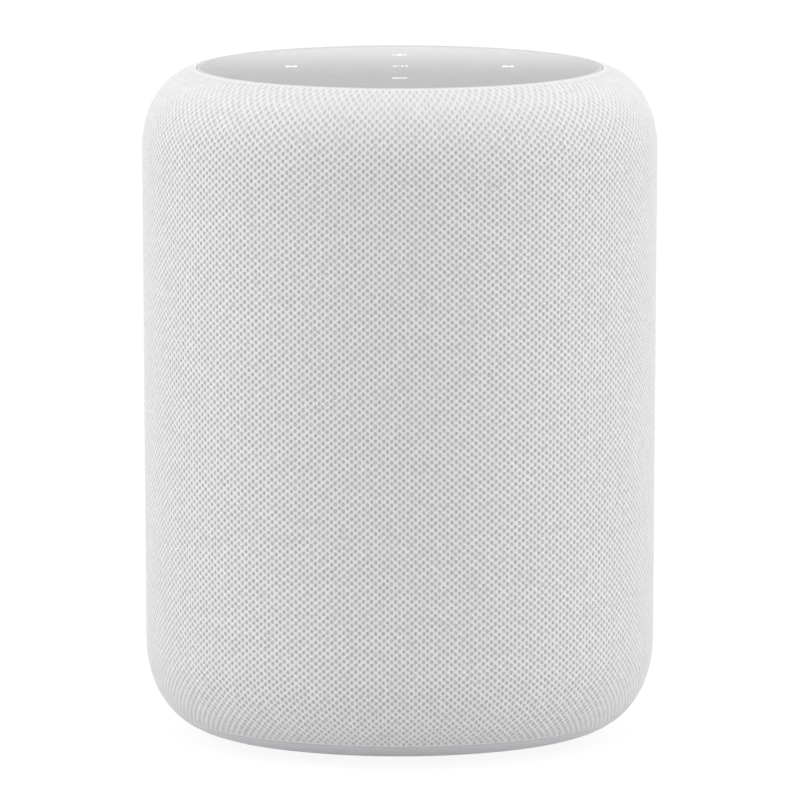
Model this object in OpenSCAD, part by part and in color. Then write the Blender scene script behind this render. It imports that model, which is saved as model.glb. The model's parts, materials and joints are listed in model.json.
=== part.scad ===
// Cylindrical smart speaker: fabric skin over a perforated grille, a touch panel on top, a
// plastic base with a recessed connector panel, and a sealed box with a woofer and two tweeters.
// Millimetres. +Z is up, -Y is the front, and the origin is the middle of the foot's underside.

/* [Body] */
// Widest diameter, where the side meets the top round
body_d = 146; // [144:0.5:156]
// Height from the foot's underside to the crest of the trim ring
body_h = 191; // [188:0.5:205]
// How much narrower the side is where it meets the bottom round
side_taper = 1.5; // [0:0.1:4]
// Width of the top round
top_round_w = 18.9; // [17.5:0.1:19.5]
// Height of the top round
top_round_h = 23.7; // [22:0.1:26]
// Width of the bottom round
bottom_round_w = 21.5; // [19:0.5:24]
// Height of the bottom round
bottom_round_h = 27; // [24:0.5:27]
// Power of the rounds' curve: 2 is an ellipse, more is squarer
round_power = 2.16; // [2:0.02:2.4]

/* [Skin] */
// Thickness of the knitted fabric
fabric_t = 0.8; // [0.5:0.1:1]
// Wall of the perforated grille
grille_t = 1.6; // [1.2:0.1:1.9]
// Wall of the base tub
tub_t = 2.4; // [1.8:0.1:3]
// Width of a grille slot
slot_w = 8; // [4:0.5:9]
// Height of a grille slot
slot_h = 17; // [10:1:19]
// Slots in one row
slot_columns = 34; // [24:2:40]
// Rows of slots
slot_rows = 6; // [4:1:6]

/* [Top] */
// Distance from the side of the body to the edge of the touch panel
shoulder_w = 16.7; // [16:0.1:18]
// Thickness of the touch panel
panel_t = 2; // [1.5:0.1:2.5]
// Width of the trim ring around the panel
trim_w = 1; // [0.8:0.05:2]
// How far the panel lies below the crest of the trim ring
panel_sink = 0.1; // [0.1:0.1:0.6]
// Distance of the four outer symbols from the middle
legend_r = 30.7; // [26:0.1:36]
// Size of a symbol
legend_size = 4.2; // [3:0.1:5]
// Line width of a symbol
legend_line = 0.8; // [0.4:0.1:1]

/* [Base] */
// Height of the silicone foot
foot_h = 1.8; // [1:0.1:3]
// Distance from the edge of the flat underside to the foot
foot_margin = 10.75; // [9:0.25:15]
// Width of the foot ring
foot_w = 8; // [6:0.5:12]
// Height of the base cover's painted rim, up to the fabric's hem
rim_h = 4.45; // [4:0.05:6]
// Thickness of the base cover
cover_t = 2.5; // [2:0.1:3]
// Thickness of the tub's floor
tub_floor_t = 2.5; // [2:0.1:3.5]

/* [Connector panel] */
// Width of the recess in the back
recess_w = 75; // [72:0.5:76]
// Height of the recess
recess_h = 23; // [22:0.5:24]
// Corner radius of the recess
recess_round = 4; // [2:0.5:6]
// Wall around the recess
recess_wall = 2.4; // [1.6:0.1:3]
// Height of the recess's middle above the ground
recess_z = 45; // [44.5:0.5:48]
// Depth from the widest radius of the body to the floor of the recess
recess_depth = 12.5; // [12:0.5:13.5]
// Diameter of the audio jack's bore
jack_bore_d = 3.6; // [3.5:0.02:3.7]
// Length of the audio jack's bore
jack_bore_l = 14; // [12:0.5:15]
// Diameter of a mains pin
mains_pin_d = 2.4; // [2.2:0.1:2.6]
// Distance between the mains pins
mains_pin_pitch = 8.6; // [8:0.1:9]
// Diameter of the setup button
button_d = 6; // [5:0.1:6.4]
// Travel of the setup button
button_travel = 0.6; // [0.3:0.1:0.8]

/* [Woofer] */
// Width of the woofer's rim, from its edge to the surround
woofer_rim_w = 7.8; // [7.6:0.1:9]
// Width of the woofer's surround
surround_w = 6.2; // [5:0.1:8]
// Diameter of the voice coil's former
coil_d = 25; // [22:0.5:28]
// How far the magnet lies inside the woofer's edge
magnet_margin = 16; // [14:0.5:22]
// Thickness of the magnet
magnet_t = 12; // [8:0.5:15]
// Travel of the cone each way
woofer_travel = 4; // [1:0.5:4]

/* [Tweeters] */
// Outer diameter of a tweeter
tweeter_d = 36; // [34:0.5:37]
// Diameter of a tweeter's dome
dome_d = 20; // [16:0.5:20.5]
// Angle of each tweeter from the front
tweeter_angle = 42; // [38:0.5:46]
// Plastic left between the woofer's pocket and the tweeters'
driver_web = 1.9; // [1:0.1:4]
// Travel of a tweeter's dome each way
tweeter_travel = 0.3; // [0.1:0.1:0.4]

/* [Speaker box] */
// Wall of the speaker box
box_t = 3; // [2.5:0.1:3.5]
// Air gap between the box and the grille
box_gap = 2.1; // [1.5:0.1:3]
// Height of the box's underside above the ground
box_z = 34; // [33:0.5:36]
// Gap between the box's flat back and the network socket
back_gap = 1.5; // [1:0.1:3]

/* [Electronics] */
// Thickness of the circuit boards
board_t = 1.6; // [1:0.1:2]
// Gap between the power board and the tub's wall
power_board_gap = 11; // [3:0.5:13]
// Width of the main board
main_board_w = 84; // [80:1:88]
// Height of the main board
main_board_h = 92; // [88:1:98]

/* [Fasteners and fits] */
// Diameter of the screws' shanks
screw_d = 2.5; // [2:0.1:2.8]
// Diameter of the screws' heads
screw_head_d = 4.6; // [4:0.1:5]
// Gap where a piece drops into another
fit_gap = 0.15; // [0.1:0.05:0.25]
// Gap around a soft piece
soft_gap = 0.3; // [0.2:0.05:0.5]

/* [Hidden] */
$fn = 96;
cut = 0.5;     // how far a cutter runs past the face that it opens
far = body_d + body_h;   // longer than any piece, for cutters that run right through

// --- the body's outline -------------------------------------------------------------------
body_r = body_d / 2;
top_round_x = body_r - top_round_w;          // middle of the top round
top_round_z = body_h - top_round_h;
lower_r = body_r - side_taper / 2;
bottom_round_x = lower_r - bottom_round_w;   // middle of the bottom round
bottom_round_z = foot_h + bottom_round_h;
round_steps = 14;

// A quarter of a superellipse about (x, z), from the side towards the crest; up is 1 or -1.
function quarter(x, z, w, h, up) =
  [for (i = [0:round_steps]) let (a = 90 * i / round_steps)
    [x + w * pow(cos(a), 2 / round_power), z + up * h * pow(sin(a), 2 / round_power)]];
function backwards(points) = [for (i = [len(points) - 1:-1:0]) points[i]];
// The body's half outline, from the underside to the crest, this far inside the surface.
function outline(inset) = concat(
  backwards(quarter(bottom_round_x, bottom_round_z, bottom_round_w - inset,
    bottom_round_h - inset, -1)),
  quarter(top_round_x, top_round_z, top_round_w - inset, top_round_h - inset, 1));
// The outline's radius at a height on one of the rounds.
function top_radius(z, inset) = top_round_x + (top_round_w - inset)
  * pow(1 - pow((z - top_round_z) / (top_round_h - inset), round_power), 1 / round_power);

module layer(outer, inner) {
  rotate_extrude() polygon(concat(outline(outer), backwards(outline(inner))));
}
module above(z) { translate([0, 0, z]) cylinder(d = far, h = far, $fn = 48); }
module below(z) { translate([0, 0, z - far]) cylinder(d = far, h = far, $fn = 48); }
module tube(outer_r, inner_r, z, h) {
  translate([0, 0, z]) difference() {
    cylinder(r = outer_r, h = h);
    translate([0, 0, -cut]) cylinder(r = inner_r, h = h + 2 * cut);
  }
}
// A box from its middle in x and y, standing on z.
module block(x, y, z, size) {
  translate([x - size[0] / 2, y - size[1] / 2, z]) cube(size);
}
// A flat shape of w by h with round corners, about the middle.
module round_rect(w, h, r) {
  square([w - 2 * r, h], center = true);
  square([w, h - 2 * r], center = true);
  for (x = [-1, 1], y = [-1, 1]) translate([x * (w / 2 - r), y * (h / 2 - r)]) circle(r = r);
}
// Extrudes a flat shape, drawn as seen from the back, along +Y from y by l, about height z.
module along_back(y, z, l) {
  translate([0, y, z]) rotate([90, 0, 0]) translate([0, 0, -l]) linear_extrude(l) children();
}
// A pan-head screw: its head stands on z = 0 and its shank runs down.
screw_head_h = 1.7;
module screw(length) {
  cylinder(d = screw_head_d, h = screw_head_h, $fn = 32);
  translate([0, 0, -length]) cylinder(d = screw_d, h = length, $fn = 32);
}
pilot_d = screw_d + 0.1;          // hole that the thread bites in
shank_hole_d = screw_d + 0.6;     // hole that the shank passes through
head_hole_d = screw_head_d + 0.6; // counterbore around the head
module wire(points, r) {
  for (i = [0:len(points) - 2]) {
    a = points[i];
    b = points[i + 1];
    d = b - a;
    l = norm(d);
    translate(a) rotate([0, acos(d[2] / l), atan2(d[1], d[0])]) cylinder(r = r, h = l, $fn = 16);
    if (i > 0) translate(a) sphere(r = r, $fn = 16);
  }
}

// --- places that several pieces share ---------------------------------------------------
// Top stack, from the touch panel down
panel_r = body_r - shoulder_w;
trim_in_r = panel_r + fit_gap;
trim_r = trim_in_r + trim_w;
skin_top_r = trim_r + fit_gap;               // where the fabric and grille end at the top
panel_z = body_h - panel_sink - panel_t;     // underside of the touch panel
shroud_t = 2.5;
shroud_r = panel_r - 6.5;
shroud_z = panel_z - shroud_t;
touch_board_z = shroud_z - board_t;
touch_board_r = shroud_r;
carrier_post_h = 2.6;
carrier_t = 2;
carrier_floor_z = touch_board_z - carrier_post_h - carrier_t;
carrier_foot_h = 3;
box_top_z = carrier_floor_z - carrier_foot_h;
touch_screw_r = touch_board_r - 4;
carrier_screw_r = touch_board_r - 10.4;
carrier_screw_a = 30;
symbol_depth = 0.4;

// Skin and base
skin_t = fabric_t + grille_t;
cover_top_z = foot_h + cover_t;
tub_floor_z = cover_top_z + tub_floor_t;     // upper face of the tub's floor
hem_z = foot_h + rim_h;
foot_r = bottom_round_x - foot_margin;
foot_groove = 1;
head_r = screw_head_d / 2;
base_screw_r = foot_r + head_hole_d / 2 + 2.5;
post_r = screw_d / 2 + 3.25;
base_screw_grip = 8;                         // length of thread in the box's boss
power_post_h = 6;
power_screw_grip = 4.5;
power_board_z = tub_floor_z + power_post_h;
power_top_z = power_board_z + board_t;
power_board_r = lower_r - fabric_t - tub_t - power_board_gap - 4.05;
power_screw_r = power_board_r - 5;

// Speaker box
box_r = body_r - skin_t - box_gap;
box_bevel = 4;
box_shoulder = 8;
bevel_slope = tan(22.5);
ethernet_l = 21;
recess_y = body_r - recess_depth;            // face of the recess's floor
box_back = recess_y - ethernet_l - back_gap; // the box's flat back
box_split = box_back - 24;                   // plane where the front and rear meet
seal_t = 1.2;
boss_r = screw_d / 2 + 3.25;
box_screw_x = box_r - 16.5;
box_screw_low = box_z + 10;
box_pilot_l = 9;                             // depth of a box screw's pilot hole
box_screw_high = box_top_z - 12;
box_screw_l = box_back - box_split + 8;
rib_t = 4;

// Woofer: w is forward of its mounting face
pocket_gap = 0.6;
pocket_wall = 3;
tweeter_r = tweeter_d / 2;
tweeter_y = box_r - 16.5;                    // distance of the mounting face from the axis
tweeter_z = box_top_z - box_t - tweeter_r;
tweeter_x = tweeter_y * sin(tweeter_angle);
// The woofer is as large as fits between the box's floor and the two tweeters: its centre is
// woofer_r above woofer_low, and woofer_r + driver_reach away from each tweeter's centre.
woofer_low = box_z + box_t + 4;
driver_rise = tweeter_z - woofer_low;
driver_reach = tweeter_r + 2 * pocket_gap + driver_web;
woofer_r = (pow(tweeter_x, 2) + pow(driver_rise, 2) - pow(driver_reach, 2))
  / (2 * (driver_rise + driver_reach));
woofer_z = woofer_low + woofer_r;
// The mounting face lies deep enough in the round front to leave the pocket a wall.
woofer_y = -sqrt(pow(box_r, 2) - pow(woofer_r + pocket_gap + 2.5, 2));
baffle_t = 5;
woofer_hole_r = woofer_r - 6;
woofer_screw_r = woofer_r - 2.6;
gasket_t = 1;
flange_t = 3;
woofer_face = gasket_t + flange_t;
flange_in_r = woofer_r - woofer_rim_w;
cone_r = flange_in_r - surround_w;
basket_low = -24;
basket_floor_t = 2.5;
basket_low_r = woofer_r - 10;
magnet_r = woofer_r - magnet_margin;
magnet_bore = 0.615;                         // share of the magnet that its hole takes
plate_t = 4;
coil_r = coil_d / 2;
coil_wall = 0.2;
winding_t = 0.6;
gap_w = 0.4;                                 // air beside the voice coil
top_plate_w = basket_low - plate_t;
magnet_low = top_plate_w - magnet_t;
yoke_low = magnet_low - plate_t;
spider_w = -15;
spider_shelf_r = basket_low_r - 9;           // inner edge of the basket's shelf
spider_out_r = basket_low_r - 2.5;
cone_low = -9;
lip_t = 0.5;

// Tweeters
dome_r = dome_d / 2;
cup_in_r = dome_r + gap_w;
cup_r = cup_in_r + 1.6;
cup_h = 12;
cup_floor_t = 2;
tweeter_hole_r = cup_r + 0.6;
tweeter_screw_r = tweeter_r - 2.8;
tweeter_plate_t = 2.5;

// Connector panel and the boards behind it
panel_back_y = recess_y - recess_wall;
window_gap = 0.2;
ethernet_w = 16;
ethernet_h = 13.5;
ethernet_x = -2;
io_board_top = recess_z - ethernet_h / 2;
io_board_low = io_board_top - board_t;
io_board_y0 = recess_y - ethernet_l;
io_board_y1 = panel_back_y - 0.3;
io_board_x0 = 1.5 - recess_w / 2;
io_board_x1 = ethernet_x + ethernet_w / 2 + 2;
jack_x = 18.5 - recess_w / 2;
jack_body = 7.2;
jack_z = io_board_top + jack_body / 2;
jack_nose_r = 3.2;
button_x = 7.5 - recess_w / 2;
button_r = button_d / 2;
button_gap = 0.15;
button_flange_r = button_r + 0.9;
button_flange_t = 1;
switch_h = 2 * button_flange_r + 0.8;
button_z = io_board_top + switch_h / 2;
button_proud = 1.2;
button_stem_r = 1.5;
button_stem_l = 5;
button_rest_gap = 0.05;
button_back_y = panel_back_y - button_rest_gap - button_flange_t;
switch_y1 = button_back_y - button_travel - 0.3;
switch_l = 7;
inlet_x = recess_w / 2 - 17.5;
inlet_w = 20;
inlet_h = 14;
inlet_flange = 1.5;
inlet_face = recess_y + inlet_flange;
inlet_cavity = 14.5;
inlet_wall = 3;
inlet_back = inlet_face - inlet_cavity - inlet_wall;
inlet_slot_r = 3.7;
pin_back = inlet_back - 3;
pin_front = inlet_face - 2.5;
panel_screw_x = recess_w / 2 - 3;
panel_screw_z = recess_z + recess_h / 2 - 3;
panel_post_r = 3.6;

// Main board, on the flat back of the box
main_post_h = 4;
main_y = box_back + main_post_h;             // board's front face
main_face = main_y + board_t;                // board's rear face, with the parts on it
main_z = recess_z + recess_h / 2 + recess_wall + 1.2;
main_screw_x = main_board_w / 2 - 5;
main_screw_dz = main_board_h / 2 - 5;
main_mid_z = main_z + main_board_h / 2;
chip_t = 1;
pad_t = 0.8;
heatsink_base = 3;
heatsink_depth = 11;
heatsink_w = 48;
heatsink_h = 30;
heatsink_z = main_mid_z + 6;
plug_h = 3;
plug_l = 7;
plug_z = main_z + 2;
lead_r = 0.8;
lead_y = main_face + plug_h / 2;
speaker_plug_x = -20;
supply_plug_x = ethernet_x + ethernet_w / 2 + 3;
ribbon_t = 0.3;
ribbon_w = 14;
ribbon_y = main_face + 1.2;

// --- shapes that several pieces share -----------------------------------------------------
// All that lies inside the outline at this inset, above z = low.
module inside(inset, low) {
  intersection() {
    rotate_extrude() polygon(concat([[0, foot_h + inset]], outline(inset), [[0, body_h - inset]]));
    above(low);
  }
}
// The opening in the skin for the connector panel.
module window(gap) {
  grow = recess_wall + gap;
  along_back(panel_back_y - cut, recess_z, far / 2)
    round_rect(recess_w + 2 * grow, recess_h + 2 * grow, recess_round + grow);
}
module around(count, r, first = 0) {
  for (i = [0:count - 1]) rotate([0, 0, first + 360 * i / count]) translate([r, 0, 0]) children();
}
module at_woofer() { translate([0, woofer_y, woofer_z]) rotate([90, 0, 0]) children(); }
// side is -1 for the left tweeter and 1 for the right, as seen from the front.
module at_tweeter(side) {
  rotate([0, 0, side * tweeter_angle]) translate([0, -tweeter_y, tweeter_z])
    rotate([90, 0, 0]) children();
}
module face_back(x, y, z) { translate([x, y, z]) rotate([-90, 0, 0]) children(); }
function box_section(i) = [
  [0, box_z + i],
  [box_r - box_bevel - i * bevel_slope, box_z + i],
  [box_r - i, box_z + box_bevel + i * bevel_slope],
  [box_r - i, box_top_z - box_shoulder - i * bevel_slope],
  [box_r - box_shoulder - i * bevel_slope, box_top_z - i],
  [0, box_top_z - i]];
module box_solid(i) {
  intersection() {
    rotate_extrude() polygon(box_section(i));
    translate([-far / 2, box_back - i - far, 0]) cube([far, far, far + box_top_z]);
  }
}
module slab_y(y0, y1) { translate([-far / 2, y0, 0]) cube([far, y1 - y0, far + box_top_z]); }
module box_body() {
  difference() {
    box_solid(0);
    difference() {
      box_solid(box_t);
      for (x = [-1, 1], z = [box_screw_low, box_screw_high])
        face_back(x * box_screw_x, 0, z) cylinder(r = boss_r, h = box_back);
      for (x = [-1, 1]) {
        block(x * box_screw_x, box_back / 2, box_z, [rib_t, box_back, box_screw_low - box_z]);
        block(x * box_screw_x, box_back / 2, box_screw_high,
          [rib_t, box_back, box_top_z - box_screw_high]);
      }
      around(4, base_screw_r, 45) translate([0, 0, box_z])
        cylinder(r = boss_r, h = box_t + base_screw_grip + 1);
      around(4, carrier_screw_r, carrier_screw_a) translate([0, 0, box_top_z - box_t - 5])
        cylinder(r = boss_r, h = 9);
    }
    around(4, base_screw_r, 45) translate([0, 0, box_z - cut])
      cylinder(d = pilot_d, h = base_screw_grip + 1 + cut);
    around(4, carrier_screw_r, carrier_screw_a) translate([0, 0, box_top_z - 7])
      cylinder(d = pilot_d, h = 8);
  }
}

// --- skin ---------------------------------------------------------------------------------
module fabric_sleeve() {
  color([0.87, 0.87, 0.88]) difference() {
    layer(0, fabric_t);
    below(hem_z);
    cylinder(r = skin_top_r, h = far);
    window(window_gap);
  }
}
module grille_shell() {
  pitch = (top_round_z - bottom_round_z) / slot_rows;
  color([0.78, 0.79, 0.8]) difference() {
    layer(fabric_t, skin_t);
    below(bottom_round_z);
    cylinder(r = skin_top_r, h = far);
    window(window_gap);
    for (row = [0:slot_rows - 1], i = [0:slot_columns - 1]) {
      a = 360 * (i + 0.5) / slot_columns;
      // The two lowest rows leave the wall around the connector panel whole.
      if (row > 1 || abs(a - 180) > 45)
        rotate([0, 0, a]) translate([0, -body_r, bottom_round_z + pitch * (row + 0.5)])
          cube([slot_w, 2 * body_r - 2 * box_r + 3, slot_h], center = true);
    }
  }
}
module trim_ring() {
  bevel = 0.3;
  low = panel_z - 1.5;
  color([0.9, 0.9, 0.91]) rotate_extrude() polygon([
    [trim_in_r, low], [trim_r, low], [trim_r, body_h - bevel], [trim_r - bevel, body_h],
    [trim_in_r + bevel, body_h], [trim_in_r, body_h - bevel]]);
}

// --- top ----------------------------------------------------------------------------------
module plus_symbol(s) {
  square([s, legend_line], center = true);
  square([legend_line, s], center = true);
}
module minus_symbol(s) { square([s, legend_line], center = true); }
// A triangle that points to +X, with a bar at its tip.
module skip_symbol(s) {
  h = s / 2;
  polygon([[-h, -h], [h * 0.7, 0], [-h, h]]);
  translate([h * 0.7 - legend_line / 2, -h]) square([legend_line, s]);
}
// A triangle and two bars: play and pause.
module play_symbol(s) {
  h = s / 2;
  translate([-h, 0]) polygon([[-h * 0.5, -h], [h * 0.9, 0], [-h * 0.5, h]]);
  for (x = [0.25, 1.25]) translate([h * x, -h]) square([legend_line, s]);
}
module symbols() {
  play_symbol(0.6 * legend_size);
  translate([0, legend_r]) plus_symbol(legend_size);
  translate([0, -legend_r]) minus_symbol(legend_size);
  translate([legend_r, 0]) skip_symbol(0.78 * legend_size);
  translate([-legend_r, 0]) mirror([1, 0]) skip_symbol(0.78 * legend_size);
}
module at_symbols() {
  children();
  around(4, legend_r) children();
}
module touch_panel() {
  bevel = 0.25;
  top = panel_z + panel_t;
  color([0.82, 0.82, 0.83]) difference() {
    rotate_extrude() polygon([[0, panel_z], [panel_r, panel_z], [panel_r, top - bevel],
      [panel_r - bevel, top], [0, top]]);
    translate([0, 0, top - symbol_depth]) linear_extrude(symbol_depth + cut) symbols();
  }
}
module touch_legends() {
  color("white") translate([0, 0, panel_z + panel_t - symbol_depth])
    linear_extrude(symbol_depth) symbols();
}
light_window_r = legend_size / 2 + 2;
module light_shroud() {
  color([0.15, 0.15, 0.16]) difference() {
    translate([0, 0, shroud_z]) cylinder(r = shroud_r, h = shroud_t);
    translate([0, 0, shroud_z - cut]) {
      at_symbols() cylinder(r = light_window_r, h = shroud_t + 2 * cut);
      around(4, touch_screw_r, 45) cylinder(d = head_hole_d, h = shroud_t + 2 * cut);
      around(4, touch_screw_r, 20) cube([8, 8, 4 * shroud_t], center = true);
    }
  }
}
led_size = [1.6, 0.8, 0.8];
module touch_leds() {
  color([0.95, 0.95, 0.8]) at_symbols() {
    block(-1, 0, shroud_z, led_size);
    block(1, 0, shroud_z, led_size);
  }
}
mic_size = [4, 3, 1.1];
module microphones() {
  color([0.8, 0.75, 0.6]) around(4, touch_screw_r, 20) block(0, 0, shroud_z, mic_size);
}
ribbon_plug = [ribbon_w + 3, 4, 2];
module touch_board() {
  color([0.1, 0.35, 0.22]) {
    difference() {
      translate([0, 0, touch_board_z]) cylinder(r = touch_board_r, h = board_t);
      around(4, touch_screw_r, 45) translate([0, 0, touch_board_z - cut])
        cylinder(d = shank_hole_d, h = board_t + 2 * cut);
    }
    block(0, ribbon_y - ribbon_plug[1] / 2, touch_board_z - ribbon_plug[2], ribbon_plug);
  }
}
module top_screws() {
  color([0.5, 0.5, 0.52]) {
    around(4, touch_screw_r, 45) translate([0, 0, shroud_z]) screw(board_t + 3.5);
    around(4, carrier_screw_r, carrier_screw_a) translate([0, 0, carrier_floor_z + carrier_t])
      screw(carrier_t + carrier_foot_h + 6);
  }
}
module top_carrier() {
  wall = 2.2;
  ledge_z = panel_z - 1.5;
  flange_r = skin_top_r + 6;
  floor_r = panel_r - wall;
  shoulder = skin_t + 0.1;
  color([0.2, 0.2, 0.21]) difference() {
    union() {
      translate([0, 0, carrier_floor_z]) cylinder(r = panel_r, h = carrier_t);
      tube(panel_r, floor_r, carrier_floor_z, panel_z - carrier_floor_z);
      tube(trim_r, floor_r, carrier_floor_z, ledge_z - carrier_floor_z);
      // Flange under the shoulder of the grille
      intersection() {
        layer(shoulder, shoulder + wall);
        tube(flange_r, floor_r, carrier_floor_z, ledge_z - carrier_floor_z);
      }
      around(4, touch_screw_r, 45) translate([0, 0, carrier_floor_z])
        cylinder(r = post_r, h = carrier_t + carrier_post_h);
      around(4, carrier_screw_r, carrier_screw_a) translate([0, 0, box_top_z])
        cylinder(r = post_r, h = carrier_foot_h + carrier_t);
    }
    difference() {
      // What of the rim would stand in the grille's way
      above(carrier_floor_z);
      cylinder(r = trim_r, h = far);
      inside(shoulder, 0);
    }
    around(4, touch_screw_r, 45) translate([0, 0, carrier_floor_z + 1])
      cylinder(d = pilot_d, h = carrier_post_h + carrier_t);
    around(4, carrier_screw_r, carrier_screw_a) translate([0, 0, box_top_z - cut])
      cylinder(d = shank_hole_d, h = carrier_foot_h + carrier_t + 2 * cut);
    // Slot for the ribbon
    translate([0, ribbon_y, carrier_floor_z])
      cube([ribbon_plug[0] + 2, 6, 4 * carrier_t], center = true);
  }
}
module touch_ribbon() {
  low = main_z + main_board_h - 8;
  color([0.75, 0.55, 0.25])
    block(0, ribbon_y + ribbon_t / 2, low, [ribbon_w, ribbon_t, touch_board_z - low]);
}

// --- speaker box --------------------------------------------------------------------------
module box_front() {
  color([0.16, 0.16, 0.17]) difference() {
    union() {
      intersection() {
        box_body();
        slab_y(-far, box_split);
      }
      intersection() {
        box_solid(0);
        union() {
          at_woofer() translate([0, 0, -baffle_t])
            cylinder(r = woofer_r + pocket_gap + pocket_wall, h = far);
          for (side = [-1, 1]) at_tweeter(side) translate([0, 0, -baffle_t])
            cylinder(r = tweeter_r + pocket_gap + pocket_wall, h = far);
        }
        slab_y(-far, 0);
      }
    }
    at_woofer() {
      cylinder(r = woofer_r + pocket_gap, h = far);
      translate([0, 0, -baffle_t - cut]) cylinder(r = woofer_hole_r, h = far);
      around(6, woofer_screw_r, 30) translate([0, 0, -baffle_t - cut])
        cylinder(d = pilot_d, h = far);
    }
    for (side = [-1, 1]) at_tweeter(side) {
      cylinder(r = tweeter_r + pocket_gap, h = far);
      translate([0, 0, -cup_h - 1]) cylinder(r = tweeter_hole_r, h = far);
      around(2, tweeter_screw_r, 90) translate([0, 0, -baffle_t - cut])
        cylinder(d = pilot_d, h = far);
    }
    for (x = [-1, 1], z = [box_screw_low, box_screw_high])
      face_back(x * box_screw_x, box_split - box_pilot_l, z)
        cylinder(d = pilot_d, h = box_pilot_l + 1);
  }
}
module box_rear() {
  sink = screw_head_h + 0.3;
  root = 1;       // how far a post is rooted in the wall
  color([0.16, 0.16, 0.17]) difference() {
    union() {
      intersection() {
        box_body();
        slab_y(box_split + seal_t, far);
      }
      for (x = [-1, 1], z = [-1, 1])
        face_back(x * main_screw_x, box_back - root, main_mid_z + z * main_screw_dz)
          cylinder(r = boss_r, h = main_post_h + root);
      for (x = [-1, 1]) face_back(x * panel_screw_x, box_back - root, panel_screw_z)
        cylinder(r = panel_post_r, h = panel_back_y - box_back + root);
    }
    for (x = [-1, 1], z = [box_screw_low, box_screw_high]) {
      face_back(x * box_screw_x, box_split, z) cylinder(d = shank_hole_d, h = far);
      face_back(x * box_screw_x, box_back - sink, z) cylinder(d = head_hole_d, h = far);
    }
    for (x = [-1, 1], z = [-1, 1])
      face_back(x * main_screw_x, box_back - 1.5, main_mid_z + z * main_screw_dz)
        cylinder(d = pilot_d, h = main_post_h + 2);
    for (x = [-1, 1]) face_back(x * panel_screw_x, panel_back_y - 10, panel_screw_z)
      cylinder(d = pilot_d, h = 11);
    for (x = speaker_leads_x) face_back(x, box_back - box_t - cut, speaker_lead_z)
      cylinder(r = lead_r + 0.1, h = box_t + 2 * cut);
  }
}
module box_seal() {
  color([0.05, 0.05, 0.05]) difference() {
    intersection() {
      box_body();
      slab_y(box_split, box_split + seal_t);
    }
    for (x = [-1, 1], z = [box_screw_low, box_screw_high])
      face_back(x * box_screw_x, 0, z) cylinder(d = shank_hole_d, h = box_back);
  }
}
module box_screws() {
  sink = screw_head_h + 0.3;
  color([0.5, 0.5, 0.52]) for (x = [-1, 1], z = [box_screw_low, box_screw_high])
    face_back(x * box_screw_x, box_back - sink, z) screw(box_screw_l - sink);
}
wadding_t = 10;
wadding_margin = 12;
module acoustic_wadding() {
  low = speaker_lead_z + 10;
  high = box_screw_high - wadding_margin;
  color([0.9, 0.9, 0.88]) block(0, box_back - box_t - wadding_t / 2, low,
    [2 * (box_screw_x - wadding_margin), wadding_t, high - low]);
}

// --- woofer -------------------------------------------------------------------------------
module woofer_basket() {
  wall = 2;
  shelf = 1.4;
  hole_w = 22;
  top_r = woofer_hole_r - 0.6;
  color([0.12, 0.12, 0.13]) at_woofer() difference() {
    rotate_extrude() polygon([
      [woofer_r, gasket_t], [woofer_r, woofer_face], [flange_in_r, woofer_face],
      [top_r - wall, gasket_t], [basket_low_r - wall + 0.3, spider_w],
      [spider_shelf_r, spider_w], [spider_shelf_r, spider_w - shelf],
      [basket_low_r - wall, spider_w - shelf],
      [basket_low_r - wall, basket_low + basket_floor_t],
      [coil_r + winding_t + 2, basket_low + basket_floor_t],
      [coil_r + winding_t + 2, basket_low], [basket_low_r, basket_low], [top_r, gasket_t]]);
    for (i = [0:5]) rotate([0, 0, 60 * i + 30])
      translate([0, -basket_low_r, (spider_w - 1) / 2 + 0.5])
        cube([hole_w, 14, -spider_w - 5], center = true);
    around(6, woofer_screw_r, 30) cylinder(d = shank_hole_d, h = far);
  }
}
module woofer_gasket() {
  color([0.05, 0.05, 0.05]) at_woofer() difference() {
    tube(woofer_r, woofer_hole_r, 0, gasket_t);
    around(6, woofer_screw_r, 30) translate([0, 0, -cut])
      cylinder(d = shank_hole_d, h = gasket_t + 2 * cut);
  }
}
module woofer_top_plate() {
  color([0.6, 0.6, 0.58]) at_woofer()
    tube(magnet_r, coil_r + winding_t + gap_w, top_plate_w, plate_t);
}
module woofer_magnet() {
  color([0.18, 0.18, 0.18]) at_woofer()
    tube(magnet_r, max(coil_r + winding_t + 2 * gap_w, magnet_r * magnet_bore), magnet_low,
      magnet_t);
}
module woofer_yoke() {
  vent_r = 4;
  pole_r = coil_r - coil_wall - gap_w;
  color([0.6, 0.6, 0.58]) at_woofer() difference() {
    union() {
      translate([0, 0, yoke_low]) cylinder(r = magnet_r - 1, h = plate_t);
      translate([0, 0, yoke_low]) cylinder(r = pole_r, h = basket_low - yoke_low);
    }
    translate([0, 0, yoke_low - cut]) cylinder(r = vent_r, h = far);
  }
}
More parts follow.
